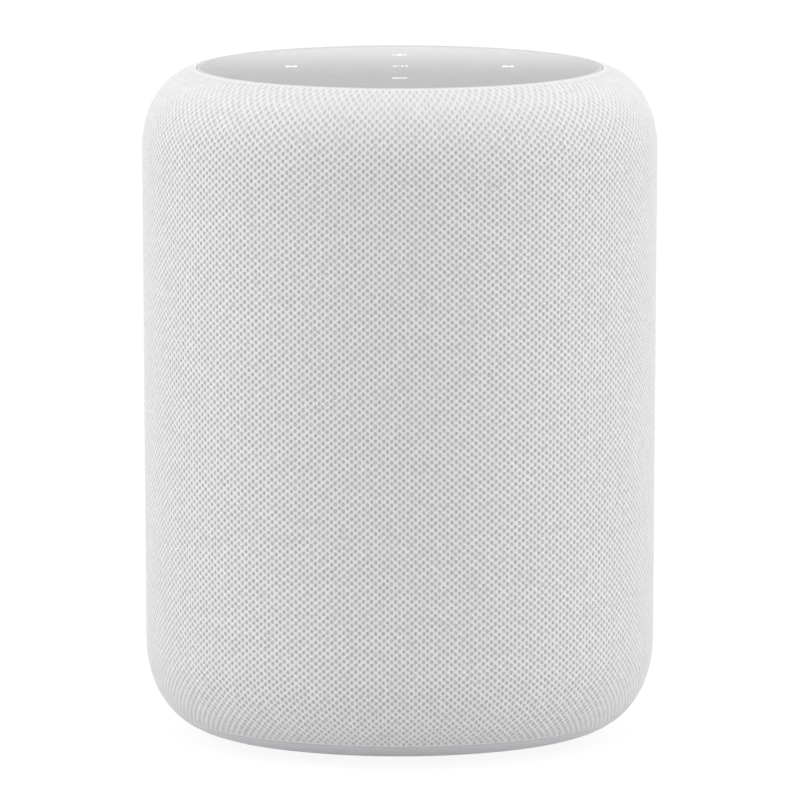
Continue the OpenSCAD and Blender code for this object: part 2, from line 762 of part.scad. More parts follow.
// Points of a half roll from x0 to x1, bulging towards +Y by its radius; grow widens it.
function roll(x0, x1, y, grow, steps) =
  [for (i = [0:steps]) let (a = 180 - 180 * i / steps, r = (x1 - x0) / 2 + grow)
    [(x0 + x1) / 2 + r * cos(a), y + r * sin(a)]];
module surround(in_r, roll_in, roll_out, out_r, w, t, steps) {
  rotate_extrude() polygon(concat(
    [[in_r, w], [in_r, w + t]], roll(roll_in, roll_out, w + t, 0, steps), [[out_r, w + t]],
    [[out_r, w]], backwards(roll(roll_in, roll_out, w, -t, steps))));
}
module woofer_surround() {
  color([0.06, 0.06, 0.06]) at_woofer() surround(cone_r - 1.5, cone_r + 0.5, flange_in_r,
    woofer_screw_r - head_r - 0.3, woofer_face, lip_t, 12);
}
module woofer_spider() {
  waves = 4;
  steps = 32;
  height = 0.8;
  t = 0.5;
  margin = 2;
  in_r = coil_r + 0.02;
  wave_l = spider_shelf_r - in_r - 2 * margin;
  corrugation = concat([[in_r, spider_w]],
    [for (i = [0:steps]) [in_r + margin + wave_l * i / steps,
      spider_w + height * sin(360 * waves * i / steps)]],
    [[spider_out_r, spider_w]]);
  color([0.75, 0.6, 0.3]) at_woofer() rotate_extrude()
    polygon(concat(corrugation, backwards([for (p = corrugation) [p[0], p[1] + t]])));
}
cone_face = woofer_face - lip_t;      // underside of the cone's flat rim
function cone_w(r) = cone_low + (cone_face - cone_low) * (r - coil_r) / (cone_r - 1.5 - coil_r);
module woofer_cone() {
  t = 0.6;
  rim_r = cone_r - 1.5;
  color([0.1, 0.1, 0.11]) at_woofer() rotate_extrude() polygon([
    [coil_r, cone_low - t], [rim_r, cone_face - t], [cone_r, cone_face - 0.1],
    [cone_r, woofer_face], [rim_r - 0.3, woofer_face], [coil_r, cone_low + 0.2]]);
}
module woofer_dust_cap() {
  t = 0.5;
  rise = 5;
  steps = 10;
  r = coil_r + 3.5;
  base = cone_w(r) + 0.75;
  function dome(grow) = [for (i = [0:steps]) let (x = (r - grow) * (1 - i / steps))
    [x, base + (rise - grow) * (1 - pow(x / r, 2))]];
  color([0.08, 0.08, 0.09]) at_woofer() rotate_extrude()
    polygon(concat(dome(0), backwards(dome(t))));
}
module woofer_voice_coil() {
  winding_h = 10;
  low = top_plate_w + plate_t / 2 - winding_h / 2;
  color([0.72, 0.45, 0.2]) at_woofer() {
    tube(coil_r, coil_r - coil_wall, low - 1, cone_low - low + 1);
    tube(coil_r + winding_t, coil_r - coil_wall, low, winding_h);
  }
}
terminal_size = [10, 4, 5];
terminal_y = basket_low_r - 2.6;
module woofer_terminals() {
  color([0.7, 0.65, 0.4]) at_woofer()
    block(0, terminal_y, basket_low - terminal_size[2], terminal_size);
}

// --- tweeters -----------------------------------------------------------------------------
module tweeter_faceplates() {
  flare = 1.2;
  color([0.12, 0.12, 0.13]) for (side = [-1, 1]) at_tweeter(side) difference() {
    rotate_extrude() polygon([[cup_r, 0], [tweeter_r, 0], [tweeter_r, tweeter_plate_t],
      [cup_in_r + flare, tweeter_plate_t], [cup_in_r + 0.2, lip_t], [cup_r, lip_t]]);
    around(2, tweeter_screw_r, 90) translate([0, 0, -cut]) cylinder(d = shank_hole_d, h = far);
  }
}
module tweeter_cups() {
  color([0.6, 0.6, 0.58]) for (side = [-1, 1]) at_tweeter(side) {
    tube(cup_r, cup_in_r, -cup_h, cup_h);
    translate([0, 0, -cup_h]) cylinder(r = cup_r, h = cup_floor_t);
  }
}
tweeter_pole_r = dome_r - 0.4 - gap_w;
module tweeter_magnets() {
  color([0.3, 0.3, 0.31]) for (side = [-1, 1]) at_tweeter(side)
    translate([0, 0, cup_floor_t - cup_h]) cylinder(r = tweeter_pole_r, h = cup_h - cup_floor_t - 1);
}
module tweeter_surround(side) {
  color([0.06, 0.06, 0.06]) at_tweeter(side) rotate_extrude() polygon([
    [dome_r + 0.03, 0.1], [dome_r + 0.03, 0.3], [dome_r + 0.4, 0.6], [cup_in_r + 0.5, 0.3],
    [cup_r - 0.05, 0.3], [cup_r - 0.05, 0], [cup_in_r, 0], [dome_r + 0.2, 0.3]]);
}
module tweeter_dome(side) {
  t = 0.15;
  rise = 3.4;
  steps = 10;
  base = 0.4;
  coil_l = 3.5;
  function dome(grow) = [for (i = [0:steps]) let (x = (dome_r - grow) * (1 - i / steps))
    [x, base + (rise - grow) * (1 - pow(x / dome_r, 2))]];
  color([0.75, 0.76, 0.78]) at_tweeter(side) {
    rotate_extrude() polygon(concat(dome(0), backwards(dome(t))));
    tube(dome_r, dome_r - 0.4, -coil_l, coil_l + base + 0.1);
  }
}
module tweeter_left_surround() { tweeter_surround(-1); }
module tweeter_right_surround() { tweeter_surround(1); }
module tweeter_left_dome() { tweeter_dome(-1); }
module tweeter_right_dome() { tweeter_dome(1); }
module driver_screws() {
  color([0.3, 0.3, 0.32]) {
    at_woofer() around(6, woofer_screw_r, 30) translate([0, 0, woofer_face])
      screw(woofer_face + baffle_t - 1);
    for (side = [-1, 1]) at_tweeter(side) around(2, tweeter_screw_r, 90)
      translate([0, 0, tweeter_plate_t]) screw(tweeter_plate_t + baffle_t - 1);
  }
}

// --- wiring and the main board ------------------------------------------------------------
speaker_leads_x = [for (i = [-1.5, -0.5, 0.5, 1.5]) speaker_plug_x + 3 * i];
speaker_lead_z = main_z - 3;
module wiring() {
  inner_y = box_back - box_t - wadding_t - 1.5;
  terminal_back = woofer_y - basket_low + terminal_size[2];
  rise_z = woofer_z + terminal_y + 5;
  cup_back = tweeter_y - cup_h;
  lead_plug_y = lead_y;
  color([0.7, 0.1, 0.1]) {
    for (i = [0:3]) {
      x = speaker_leads_x[i];
      // Leads 1 and 2 serve the woofer, 0 and 3 one tweeter each.
      end = (i == 1 || i == 2)
        ? [(i - 1.5) * 6, terminal_back + lead_r, woofer_z + terminal_y]
        : [(i == 0 ? -1 : 1) * (cup_back - lead_r) * sin(tweeter_angle),
          -(cup_back - lead_r) * cos(tweeter_angle), tweeter_z];
      top_z = (i == 1 || i == 2) ? rise_z : tweeter_z;
      wire([[x, lead_plug_y, plug_z], [x, lead_plug_y, speaker_lead_z],
        [x, inner_y, speaker_lead_z], [x, inner_y, top_z], end], lead_r);
    }
    // From the mains pins to the power board
    for (s = [-1, 1]) {
      x = inlet_x + s * mains_pin_pitch / 2;
      wire([[x, pin_back - lead_r, recess_z], [x, pin_back - lead_r, power_top_z]], lead_r);
      translate([x, pin_back - lead_r, recess_z]) sphere(r = lead_r, $fn = 16);
    }
    // From the power board to the main board
    wire([[supply_plug_x, pin_back - lead_r, power_top_z],
      [supply_plug_x, pin_back - lead_r, main_z - 6],
      [supply_plug_x, lead_plug_y, main_z - 2.5], [supply_plug_x, lead_plug_y, plug_z]], lead_r);
  }
}
module main_board() {
  color([0.1, 0.35, 0.22]) {
    difference() {
      block(0, main_y + board_t / 2, main_z, [main_board_w, board_t, main_board_h]);
      for (x = [-1, 1], z = [-1, 1])
        face_back(x * main_screw_x, main_y - cut, main_mid_z + z * main_screw_dz)
          cylinder(d = shank_hole_d, h = board_t + 2 * cut);
    }
    block(speaker_plug_x, main_face + plug_h / 2, plug_z, [13, plug_h, plug_l]);
    block(supply_plug_x, main_face + plug_h / 2, plug_z, [8, plug_h, plug_l]);
    // Connector that grips the ribbon from in front
    block(0, (main_face + ribbon_y) / 2, main_z + main_board_h - 8,
      [ribbon_w + 3, ribbon_y - main_face, 6]);
    // Amplifier chip
    block(0, main_face + chip_t / 2, heatsink_z + heatsink_h / 2 - 7, [14, chip_t, 14]);
  }
}
module main_board_screws() {
  color([0.5, 0.5, 0.52]) for (x = [-1, 1], z = [-1, 1])
    face_back(x * main_screw_x, main_face, main_mid_z + z * main_screw_dz)
      screw(board_t + main_post_h + 1);
}
can_w = 24;
can_t = 3;
module shield_cans() {
  color([0.75, 0.75, 0.76]) for (x = [-1, 1])
    block(x * can_w * 0.75, main_face + can_t / 2, plug_z + 1.7 * plug_l, [can_w, can_t, can_w]);
}
module thermal_pad() {
  color([0.55, 0.6, 0.75])
    block(0, main_face + chip_t + pad_t / 2, heatsink_z + heatsink_h / 2 - 7, [14, pad_t, 14]);
}
module amplifier_heatsink() {
  fins = 7;
  fin_t = 1.4;
  back = main_face + chip_t + pad_t;
  color([0.68, 0.69, 0.7]) {
    block(0, back + heatsink_base / 2, heatsink_z, [heatsink_w, heatsink_base, heatsink_h]);
    for (i = [0:fins - 1])
      block((heatsink_w - fin_t) * (i / (fins - 1) - 0.5), back + heatsink_depth / 2, heatsink_z,
        [fin_t, heatsink_depth, heatsink_h]);
  }
}
module wifi_antennas() {
  leaf = [7, 0.8, 30];
  leaf_gap = 8;       // from the main board's edge to the middle of a leaf
  bend_gap = 3;       // from the main board's edge to the bend of its lead
  socket_margin = 5;  // from the middle of a socket to the main board's edge
  leaf_x = main_board_w / 2 + leaf_gap;
  bend_x = main_board_w / 2 + bend_gap;
  socket_x = main_board_w / 2 - socket_margin;
  socket = [4, 2, 4];
  color([0.2, 0.2, 0.2]) for (x = [-1, 1]) {
    block(x * leaf_x, box_back + leaf[1] / 2, main_mid_z - leaf[2] / 2, leaf);
    block(x * socket_x, main_face + socket[1] / 2, main_mid_z - socket[2] / 2, socket);
    wire([[x * leaf_x, box_back + leaf[1] / 2, main_mid_z],
      [x * bend_x, main_face + socket[1] / 2, main_mid_z],
      [x * socket_x, main_face + socket[1] / 2, main_mid_z]], 0.6);
  }
}

// --- base ---------------------------------------------------------------------------------
module base_tub() {
  spigot_t = 1.2;
  spigot = skin_t + 0.1;
  spigot_top = box_z - 1;
  color([0.2, 0.2, 0.21]) difference() {
    union() {
      difference() {
        layer(fabric_t, fabric_t + tub_t);
        below(hem_z);
        above(bottom_round_z);
      }
      // Spigot inside the grille
      difference() {
        layer(spigot, spigot + spigot_t);
        below(bottom_round_z - 6);
        above(spigot_top);
      }
      difference() {
        inside(cover_t, cover_top_z);
        above(tub_floor_z);
      }
      around(4, base_screw_r, 45) translate([0, 0, cover_top_z])
        cylinder(r = post_r, h = box_z - cover_top_z);
      around(4, power_screw_r) translate([0, 0, cover_top_z])
        cylinder(r = post_r, h = power_board_z - cover_top_z);
    }
    around(4, base_screw_r, 45) translate([0, 0, cover_top_z - cut])
      cylinder(d = shank_hole_d, h = far);
    around(4, power_screw_r) translate([0, 0, power_board_z - 5]) cylinder(d = pilot_d, h = far);
    window(window_gap);
  }
}
head_sink = screw_head_h;
module bottom_cover() {
  color([0.66, 0.68, 0.73]) difference() {
    union() {
      difference() {
        inside(0, foot_h);
        inside(cover_t, 0);
        above(hem_z);
      }
      translate([0, 0, foot_h]) cylinder(r = bottom_round_x, h = cover_t);
    }
    tube(foot_r, foot_r - foot_w, foot_h - cut, foot_groove + cut);
    around(4, base_screw_r, 45) translate([0, 0, foot_h - cut]) {
      cylinder(d = head_hole_d, h = head_sink + cut);
      cylinder(d = shank_hole_d, h = far);
    }
  }
}
module foot_ring() {
  bevel = 0.6;
  color([0.25, 0.25, 0.26]) rotate_extrude() polygon([
    [foot_r - foot_w + bevel, 0], [foot_r - bevel, 0], [foot_r, bevel],
    [foot_r, foot_h + foot_groove], [foot_r - foot_w, foot_h + foot_groove],
    [foot_r - foot_w, bevel]]);
}
module case_screws() {
  color([0.35, 0.35, 0.37]) {
    around(4, base_screw_r, 45) translate([0, 0, foot_h + head_sink]) mirror([0, 0, 1])
      screw(box_z + base_screw_grip - foot_h - head_sink);
    for (x = [-1, 1]) face_back(x * panel_screw_x, recess_y, panel_screw_z)
      screw(recess_wall + 8);
  }
}
module power_board() {
  color([0.55, 0.4, 0.2]) difference() {
    translate([0, 0, power_board_z]) cylinder(r = power_board_r, h = board_t);
    around(4, power_screw_r) translate([0, 0, power_board_z - cut])
      cylinder(d = shank_hole_d, h = board_t + 2 * cut);
    around(4, base_screw_r, 45) translate([0, 0, power_board_z - cut])
      cylinder(r = post_r + 0.6, h = board_t + 2 * cut);
  }
}
part_room = box_z - power_top_z;             // height for the parts on the power board
core_w = 30;
core_l = 26;
core_x = -8;
band_t = 1;
module power_transformer() {
  color([0.8, 0.7, 0.2]) {
    block(core_x, 0, power_top_z, [core_w, core_l, part_room - 3]);
    block(core_x, 0, power_top_z + 2, [core_w * 0.6, core_l + 2 * band_t, part_room - 7]);
  }
}
capacitor_r = 6;
small_capacitor_r = 4;
module power_capacitors() {
  big_x = core_x + core_w / 2 + capacitor_r + 4;
  side_y = core_l / 2 + band_t + 3;
  color([0.12, 0.14, 0.2]) {
    for (i = [-1:1]) translate([big_x, i * (2 * capacitor_r + 3), power_top_z])
      cylinder(r = capacitor_r, h = part_room - 2);
    for (i = [-1, 0]) translate([core_x + i * (2 * small_capacitor_r + 2),
      -side_y - small_capacitor_r, power_top_z]) cylinder(r = small_capacitor_r, h = part_room - 5);
    // Film capacitor across the mains
    block(core_x, side_y + small_capacitor_r, power_top_z,
      [4.5 * small_capacitor_r, 2 * small_capacitor_r, part_room - 7]);
  }
}
module power_board_screws() {
  color([0.5, 0.5, 0.52]) around(4, power_screw_r) translate([0, 0, power_top_z])
    screw(board_t + power_screw_grip);
}

// --- connector panel ----------------------------------------------------------------------
module connector_panel() {
  ledge = [6, 8, 2.5];
  color([0.62, 0.64, 0.69]) difference() {
    union() {
      intersection() {
        inside(0, foot_h);
        window(0);
        slab_y(panel_back_y, far);
      }
      // Ledges that carry the input board
      for (x = [io_board_x0 + 4, io_board_x1 - 4])
        block(x, panel_back_y - ledge[1] / 2, io_board_low - ledge[2], ledge);
    }
    along_back(recess_y, recess_z, far / 2) round_rect(recess_w, recess_h, recess_round);
    block(ethernet_x, recess_y, io_board_top,
      [ethernet_w + 2 * fit_gap, 4 * recess_wall, ethernet_h + fit_gap]);
    block(inlet_x, recess_y, recess_z - inlet_h / 2 - fit_gap,
      [inlet_w + 2 * fit_gap, 4 * recess_wall, inlet_h + 2 * fit_gap]);
    face_back(jack_x, panel_back_y - cut, jack_z) cylinder(r = jack_nose_r, h = far / 2);
    face_back(button_x, panel_back_y - cut, button_z)
      cylinder(r = button_r + button_gap, h = far / 2);
    for (x = [-1, 1]) face_back(x * panel_screw_x, panel_back_y - cut, panel_screw_z)
      cylinder(d = shank_hole_d, h = far / 2);
    for (x = [io_board_x0 + 4, io_board_x1 - 4])
      translate([x, panel_back_y - ledge[1] / 2, io_board_low - far / 2])
        cylinder(d = pilot_d, h = far / 2);
  }
}
module inlet_slot(l) {
  along_back(inlet_face - l, recess_z, l + cut) {
    for (s = [-1, 1]) translate([inlet_x + s * mains_pin_pitch / 2, 0]) circle(r = inlet_slot_r);
    translate([inlet_x, 0]) square([mains_pin_pitch, 2 * inlet_slot_r], center = true);
  }
}
module mains_inlet() {
  lip = 1.5;
  color([0.08, 0.08, 0.09]) difference() {
    union() {
      block(inlet_x, (inlet_back + recess_y) / 2, recess_z - inlet_h / 2,
        [inlet_w, recess_y - inlet_back, inlet_h]);
      block(inlet_x, (recess_y + inlet_face) / 2, recess_z - inlet_h / 2 - lip,
        [inlet_w + 2 * lip, inlet_flange, inlet_h + 2 * lip]);
    }
    inlet_slot(inlet_cavity);
    for (s = [-1, 1]) face_back(inlet_x + s * mains_pin_pitch / 2, inlet_back - cut, recess_z)
      cylinder(d = mains_pin_d, h = far / 4);
  }
}
module mains_pins() {
  color([0.82, 0.8, 0.72]) for (s = [-1, 1])
    face_back(inlet_x + s * mains_pin_pitch / 2, pin_back, recess_z)
      cylinder(d = mains_pin_d, h = pin_front - pin_back);
}
port_w = 11.8;
port_h = 7.6;
port_l = 15;
port_z = io_board_top + 3.4;
latch_w = 6.4;
latch_h = 2;
module ethernet_jack() {
  color([0.72, 0.73, 0.75]) difference() {
    block(ethernet_x, recess_y - ethernet_l / 2, io_board_top, [ethernet_w, ethernet_l, ethernet_h]);
    block(ethernet_x, recess_y - port_l / 2 + cut / 2, port_z, [port_w, port_l + cut, port_h]);
    block(ethernet_x, recess_y - port_l / 2 + cut / 2, port_z - latch_h,
      [latch_w, port_l + cut, port_h]);
  }
}
module ethernet_contacts() {
  pitch = 1.02;
  contact = [0.5, 8, 0.6];
  color([0.85, 0.7, 0.3]) for (i = [0:7])
    block(ethernet_x + pitch * (i - 3.5), recess_y - port_l + contact[1] / 2,
      port_z + port_h - contact[2], contact);
}
module aux_jack() {
  back = recess_y - jack_bore_l - 1.5;
  color([0.1, 0.1, 0.11]) difference() {
    union() {
      block(jack_x, (back + panel_back_y) / 2, io_board_top,
        [jack_body, panel_back_y - back, jack_body]);
      face_back(jack_x, panel_back_y - cut, jack_z) cylinder(r = jack_nose_r, h = recess_wall + cut);
    }
    face_back(jack_x, recess_y - jack_bore_l, jack_z) cylinder(d = jack_bore_d, h = jack_bore_l + cut);
  }
}
module io_board() {
  color([0.1, 0.35, 0.22]) difference() {
    translate([io_board_x0, io_board_y0, io_board_low])
      cube([io_board_x1 - io_board_x0, io_board_y1 - io_board_y0, board_t]);
    for (x = [io_board_x0 + 4, io_board_x1 - 4])
      translate([x, panel_back_y - 4, io_board_low - cut])
        cylinder(d = shank_hole_d, h = board_t + 2 * cut);
  }
}
module setup_button() {
  color([0.3, 0.31, 0.33]) {
    face_back(button_x, button_back_y, button_z) {
      cylinder(r = button_flange_r, h = button_flange_t);
      cylinder(r = button_r, h = recess_y + button_proud - button_back_y);
    }
    face_back(button_x, button_back_y - button_stem_l, button_z)
      cylinder(r = button_stem_r, h = button_stem_l + cut);
  }
}
module setup_switch() {
  color([0.15, 0.15, 0.16]) difference() {
    block(button_x, switch_y1 - switch_l / 2, io_board_top, [switch_h, switch_l, switch_h]);
    face_back(button_x, switch_y1 - switch_l + 1, button_z)
      cylinder(r = button_stem_r + 0.1, h = switch_l);
  }
}

fabric_sleeve();
grille_shell();
trim_ring();
touch_panel();
touch_legends();
light_shroud();
touch_leds();
touch_board();
microphones();
top_screws();
top_carrier();
touch_ribbon();
box_front();
box_rear();
box_seal();
box_screws();
acoustic_wadding();
woofer_basket();
woofer_gasket();
woofer_top_plate();
woofer_magnet();
woofer_yoke();
woofer_surround();
woofer_spider();
woofer_cone();
woofer_dust_cap();
woofer_voice_coil();
woofer_terminals();
tweeter_faceplates();
tweeter_cups();
tweeter_magnets();
tweeter_left_surround();
tweeter_right_surround();
tweeter_left_dome();
tweeter_right_dome();
driver_screws();
wiring();
main_board();
main_board_screws();
shield_cans();
amplifier_heatsink();
thermal_pad();
wifi_antennas();
base_tub();
bottom_cover();
foot_ring();
case_screws();
power_board();
power_transformer();
power_capacitors();
power_board_screws();
connector_panel();
mains_inlet();
mains_pins();
ethernet_jack();
ethernet_contacts();
aux_jack();
io_board();
setup_button();
setup_switch();
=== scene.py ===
# %% [markdown]
# # Dressing a smart speaker
#
# The cabinet, the drivers and the boards of this speaker are solid parts that were engineered in
# CAD. This notebook dresses them: it stretches a knitted fabric over the round body, gives each
# plastic and metal its finish, and details the small parts of the connector panel. All lengths
# are in metres, and +Z is up. The front of the speaker looks along -Y.
#
# The first cell loads the engineered parts. They arrive as mesh objects whose vertices already
# are where they belong, so a piece that is built from their boxes needs no fitting.

# %% Load the engineered parts
import json
import math

import bpy
import numpy as np
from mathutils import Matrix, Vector


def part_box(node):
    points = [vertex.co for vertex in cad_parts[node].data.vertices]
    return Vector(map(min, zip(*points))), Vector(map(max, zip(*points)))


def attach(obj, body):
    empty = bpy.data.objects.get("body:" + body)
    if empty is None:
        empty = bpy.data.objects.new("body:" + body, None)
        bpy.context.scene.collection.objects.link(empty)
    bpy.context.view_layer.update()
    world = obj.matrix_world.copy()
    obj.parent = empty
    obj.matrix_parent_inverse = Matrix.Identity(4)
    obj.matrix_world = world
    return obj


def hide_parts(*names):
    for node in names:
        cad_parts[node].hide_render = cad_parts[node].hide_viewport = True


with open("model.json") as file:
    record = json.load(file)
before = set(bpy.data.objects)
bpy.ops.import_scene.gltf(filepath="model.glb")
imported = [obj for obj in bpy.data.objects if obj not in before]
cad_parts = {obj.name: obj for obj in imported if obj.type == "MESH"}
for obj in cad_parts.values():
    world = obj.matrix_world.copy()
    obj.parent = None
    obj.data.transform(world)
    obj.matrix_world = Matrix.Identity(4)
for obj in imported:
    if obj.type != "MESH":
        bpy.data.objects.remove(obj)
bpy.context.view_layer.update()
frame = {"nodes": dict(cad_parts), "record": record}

MM = 0.001
nodes = frame["nodes"]
scene = bpy.context.scene

# %% [markdown]
# ## The camera
#
# A product shot is taken from far away with a long lens, so that the round top stays a slim
# ellipse and the sides stay straight. The camera stands a little above the speaker and looks
# down on it by less than eight degrees.

# %% Camera
LENS_MM = 492
CAMERA_PLACE = Vector((0, -3.078, 0.520))
CAMERA_TARGET = Vector((0, 0, 0.0955))

bpy.ops.object.camera_add(location=CAMERA_PLACE)
camera = bpy.context.object
camera.name = "camera"
camera.rotation_euler = (CAMERA_TARGET - CAMERA_PLACE).to_track_quat("-Z", "Y").to_euler()
camera.data.lens = LENS_MM
camera.data.sensor_width = 36
camera.data.shift_x = 0.0004
camera.data.clip_end = 50
scene.camera = camera
print("camera", [round(v, 3) for v in camera.location], "lens", LENS_MM, "mm")

# %% [markdown]
# ## Light and ground
#
# White fabric needs soft light that comes mostly from the sides, so that its fine relief reads
# and the middle of the body turns a little darker than its edges. The world is a pale dome. Two
# tall soft boxes stand beside the speaker and one hangs above it. The camera and glass see plain
# white around the speaker, and that white adds no light to it. Mirrors see a white band a little
# above the horizon, and a darker studio above and below it, which gives the glossy top its
# gradient from back to front.

# %% World
DOME = 0.88         # how strongly the dome lights the speaker
SHOWN_WHITE = 1.0   # what the camera sees of it
OVERHEAD = 0.20     # what mirrors see of it overhead
AFAR = 0.55         # and right at the horizon
ABOVE_BAND = (0.090, 0.111)     # the heights between which it dims for mirrors, upwards
BELOW_BAND = (0.082, 0.050)     # and downwards

scene.view_settings.view_transform = "Standard"
world = bpy.data.worlds.new("pale_dome")
scene.world = world
world.use_nodes = True
sky = world.node_tree
background = sky.nodes["Background"]
rays = sky.nodes.new("ShaderNodeLightPath")


def seen_directly(tree, path):
    """Returns a socket that is 1 for rays of the camera, mirrors and glass, and 0 for others."""
    first = tree.nodes.new("ShaderNodeMath")
    first.operation = "MAXIMUM"
    tree.links.new(path.outputs["Is Camera Ray"], first.inputs[0])
    tree.links.new(path.outputs["Is Glossy Ray"], first.inputs[1])
    both = tree.nodes.new("ShaderNodeMath")
    both.operation = "MAXIMUM"
    tree.links.new(first.outputs[0], both.inputs[0])
    tree.links.new(path.outputs["Is Transmission Ray"], both.inputs[1])
    return both.outputs[0]


def ranged(tree, value, source, target, smooth=False):
    """Maps a socket's value from one range to another, and returns the new socket."""
    node = tree.nodes.new("ShaderNodeMapRange")
    if smooth:
        node.interpolation_type = "SMOOTHSTEP"
    for name, number in zip(("From Min", "From Max", "To Min", "To Max"), (*source, *target)):
        node.inputs[name].default_value = number
    tree.links.new(value, node.inputs["Value"])
    return node.outputs["Result"]


def multiplied(tree, first, second):
    """Multiplies two sockets, and returns the new socket."""
    node = tree.nodes.new("ShaderNodeMath")
    node.operation = "MULTIPLY"
    tree.links.new(first, node.inputs[0])
    tree.links.new(second, node.inputs[1])
    return node.outputs[0]


direction = sky.nodes.new("ShaderNodeTexCoord")
direction_parts = sky.nodes.new("ShaderNodeSeparateXYZ")
sky.links.new(direction.outputs["Generated"], direction_parts.inputs["Vector"])
strength = ranged(sky, seen_directly(sky, rays), (0, 1), (DOME, SHOWN_WHITE))
for heights, share in ((ABOVE_BAND, OVERHEAD), (BELOW_BAND, AFAR)):
    dimmed = multiplied(sky, rays.outputs["Is Glossy Ray"],
                        ranged(sky, direction_parts.outputs["Z"], heights, (0, 1)))
    strength = multiplied(sky, strength, ranged(sky, dimmed, (0, 1), (1, share)))
sky.links.new(strength, background.inputs["Strength"])
background.inputs["Color"].default_value = (1, 1, 1, 1)
print("dome at", DOME)


# %% Soft boxes
def soft_box(name, place, target, size, watts):
    """Adds a rectangular lamp that looks at a target and that the camera doesn't see."""
    bpy.ops.object.light_add(type="AREA", location=place)
    lamp = bpy.context.object
    lamp.name = name
    lamp.rotation_euler = (Vector(target) - Vector(place)).to_track_quat("-Z", "Y").to_euler()
    lamp.data.shape = "RECTANGLE"
    lamp.data.size, lamp.data.size_y = size
    lamp.data.energy = watts
    lamp.visible_camera = False
    return lamp


for side in (-1, 1):
    soft_box(f"side_box_{side}", (side * 1.3, 0.12, 0.45), (0, 0, 0.1), (0.9, 1.5), 6.4)
soft_box("top_box", (0, -0.35, 1.2), (0, 0, 0.15), (1.2, 0.9), 2.4)
print("three soft boxes")

# %% [markdown]
# The ground is a wide pale sheet. It has to look white and still carry the speaker's soft
# shadow, so it is part plain matt white, which darkens in the shadow, and part a white that the
# camera sees whatever falls on it.


# %% Ground
SHOWN_SHARE = 0.86      # how much of the ground's white is shown whatever falls on it
GROUND_GREY = 0.83      # the matt white that the rest of it is
GROUND_GLOW = 1.06      # and the shown white's strength


def new_material(name):
    """Makes a material with a Principled shader, and returns it with its tree and shader."""
    material = bpy.data.materials.new(name)
    material.use_nodes = True
    tree = material.node_tree
    return material, tree, tree.nodes["Principled BSDF"]


bpy.ops.mesh.primitive_plane_add(size=9, location=(0, 0, 0))
ground = bpy.context.object
ground.name = "ground"
ground_material, tree, shader = new_material("ground_white")
shader.inputs["Base Color"].default_value = (GROUND_GREY, GROUND_GREY, GROUND_GREY, 1)
shader.inputs["Roughness"].default_value = 0.9
glow = tree.nodes.new("ShaderNodeEmission")
glow.inputs["Strength"].default_value = GROUND_GLOW
mix = tree.nodes.new("ShaderNodeMixShader")
ground_rays = tree.nodes.new("ShaderNodeLightPath")
share = ranged(tree, seen_directly(tree, ground_rays), (0, 1), (0, SHOWN_SHARE))
tree.links.new(share, mix.inputs["Fac"])
tree.links.new(shader.outputs["BSDF"], mix.inputs[1])
tree.links.new(glow.outputs["Emission"], mix.inputs[2])
tree.links.new(mix.outputs["Shader"], tree.nodes["Material Output"].inputs["Surface"])
ground.data.materials.append(ground_material)
print("ground laid")

# %% [markdown]
# ## The knitted sleeve
#
# The sleeve is a warp-knitted net: white yarns cross each other in a lattice of diamonds, and
# each diamond leaves an oval eye. Under some eyes a loop of the layer below stands up. A bump
# map can't give the eyes their true shadow at a grazing angle, where they close and the cloth
# turns whiter, so the net is modelled: every eye is a small pit in the mesh.
#
# The first step is the body's outline, which is the same formula that shaped the cabinet: a
# straight side between two rounds that are quarters of a superellipse. Rows of stitches are
# counted along it, from the hem up to the trim ring.

# %% Outline of the body
sleeve_low, sleeve_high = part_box("fabric_sleeve")
body_r = sleeve_high.x
body_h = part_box("trim_ring")[1].z
foot_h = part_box("bottom_cover")[0].z
hem_z = sleeve_low.z
RING_GAP = 0.12 * MM        # between the trim ring and the sleeve's upper edge
edge_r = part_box("trim_ring")[1].x + RING_GAP
SIDE_TAPER = 1.5 * MM
TOP_ROUND = (18.9 * MM, 23.7 * MM)
BOTTOM_ROUND = (21.5 * MM, 27 * MM)
ROUND_POWER = 2.16


def quarter(x, z, width, height, steps=500):
    """A quarter of a superellipse about (x, z), from its side to its crest."""
    a = np.linspace(0, math.pi / 2, steps)
    across = width * np.cos(a) ** (2 / ROUND_POWER)
    up = height * np.sin(a) ** (2 / ROUND_POWER)
    return np.stack([x + across, z + up], axis=1)


bottom = quarter(body_r - SIDE_TAPER / 2 - BOTTOM_ROUND[0], foot_h + BOTTOM_ROUND[1],
                 BOTTOM_ROUND[0], -BOTTOM_ROUND[1])
top = quarter(body_r - TOP_ROUND[0], body_h - TOP_ROUND[1], *TOP_ROUND)
outline = np.concatenate([bottom[::-1], top])
in_lower_half = outline[:, 1] < body_h / 2
outline = outline[(outline[:, 1] >= hem_z) & ((outline[:, 0] >= edge_r) | in_lower_half)]
along = np.concatenate([[0], np.cumsum(np.linalg.norm(np.diff(outline, axis=0), axis=1))])
sleeve_length = along[-1]
slope = np.gradient(outline, along, axis=0)
slope /= np.linalg.norm(slope, axis=1)[:, None]
outward = np.stack([slope[:, 1], -slope[:, 0]], axis=1)
print("the sleeve is", round(sleeve_length / MM, 1), "mm long over its outline")

# %% [markdown]
# The lattice counts in half stitches: a column is half a wale wide and a row is half a course
# high. An eye lies wherever column and row add up to an even number, and its diamond reaches
# one column to each side and one row up and down. A point of the cloth is then a column, a row
# and a depth under the outer face.
#
# The sleeve is knitted as a tube and pulled over a body that narrows at both ends, so its
# stitches aren't all alike. Where the cloth turns in over the shoulder they grow narrow and
# long. Round the body the wales lie closest at the front, the back and the sides, where the
# knitting machine's four beds end. Two tables hold these spacings.

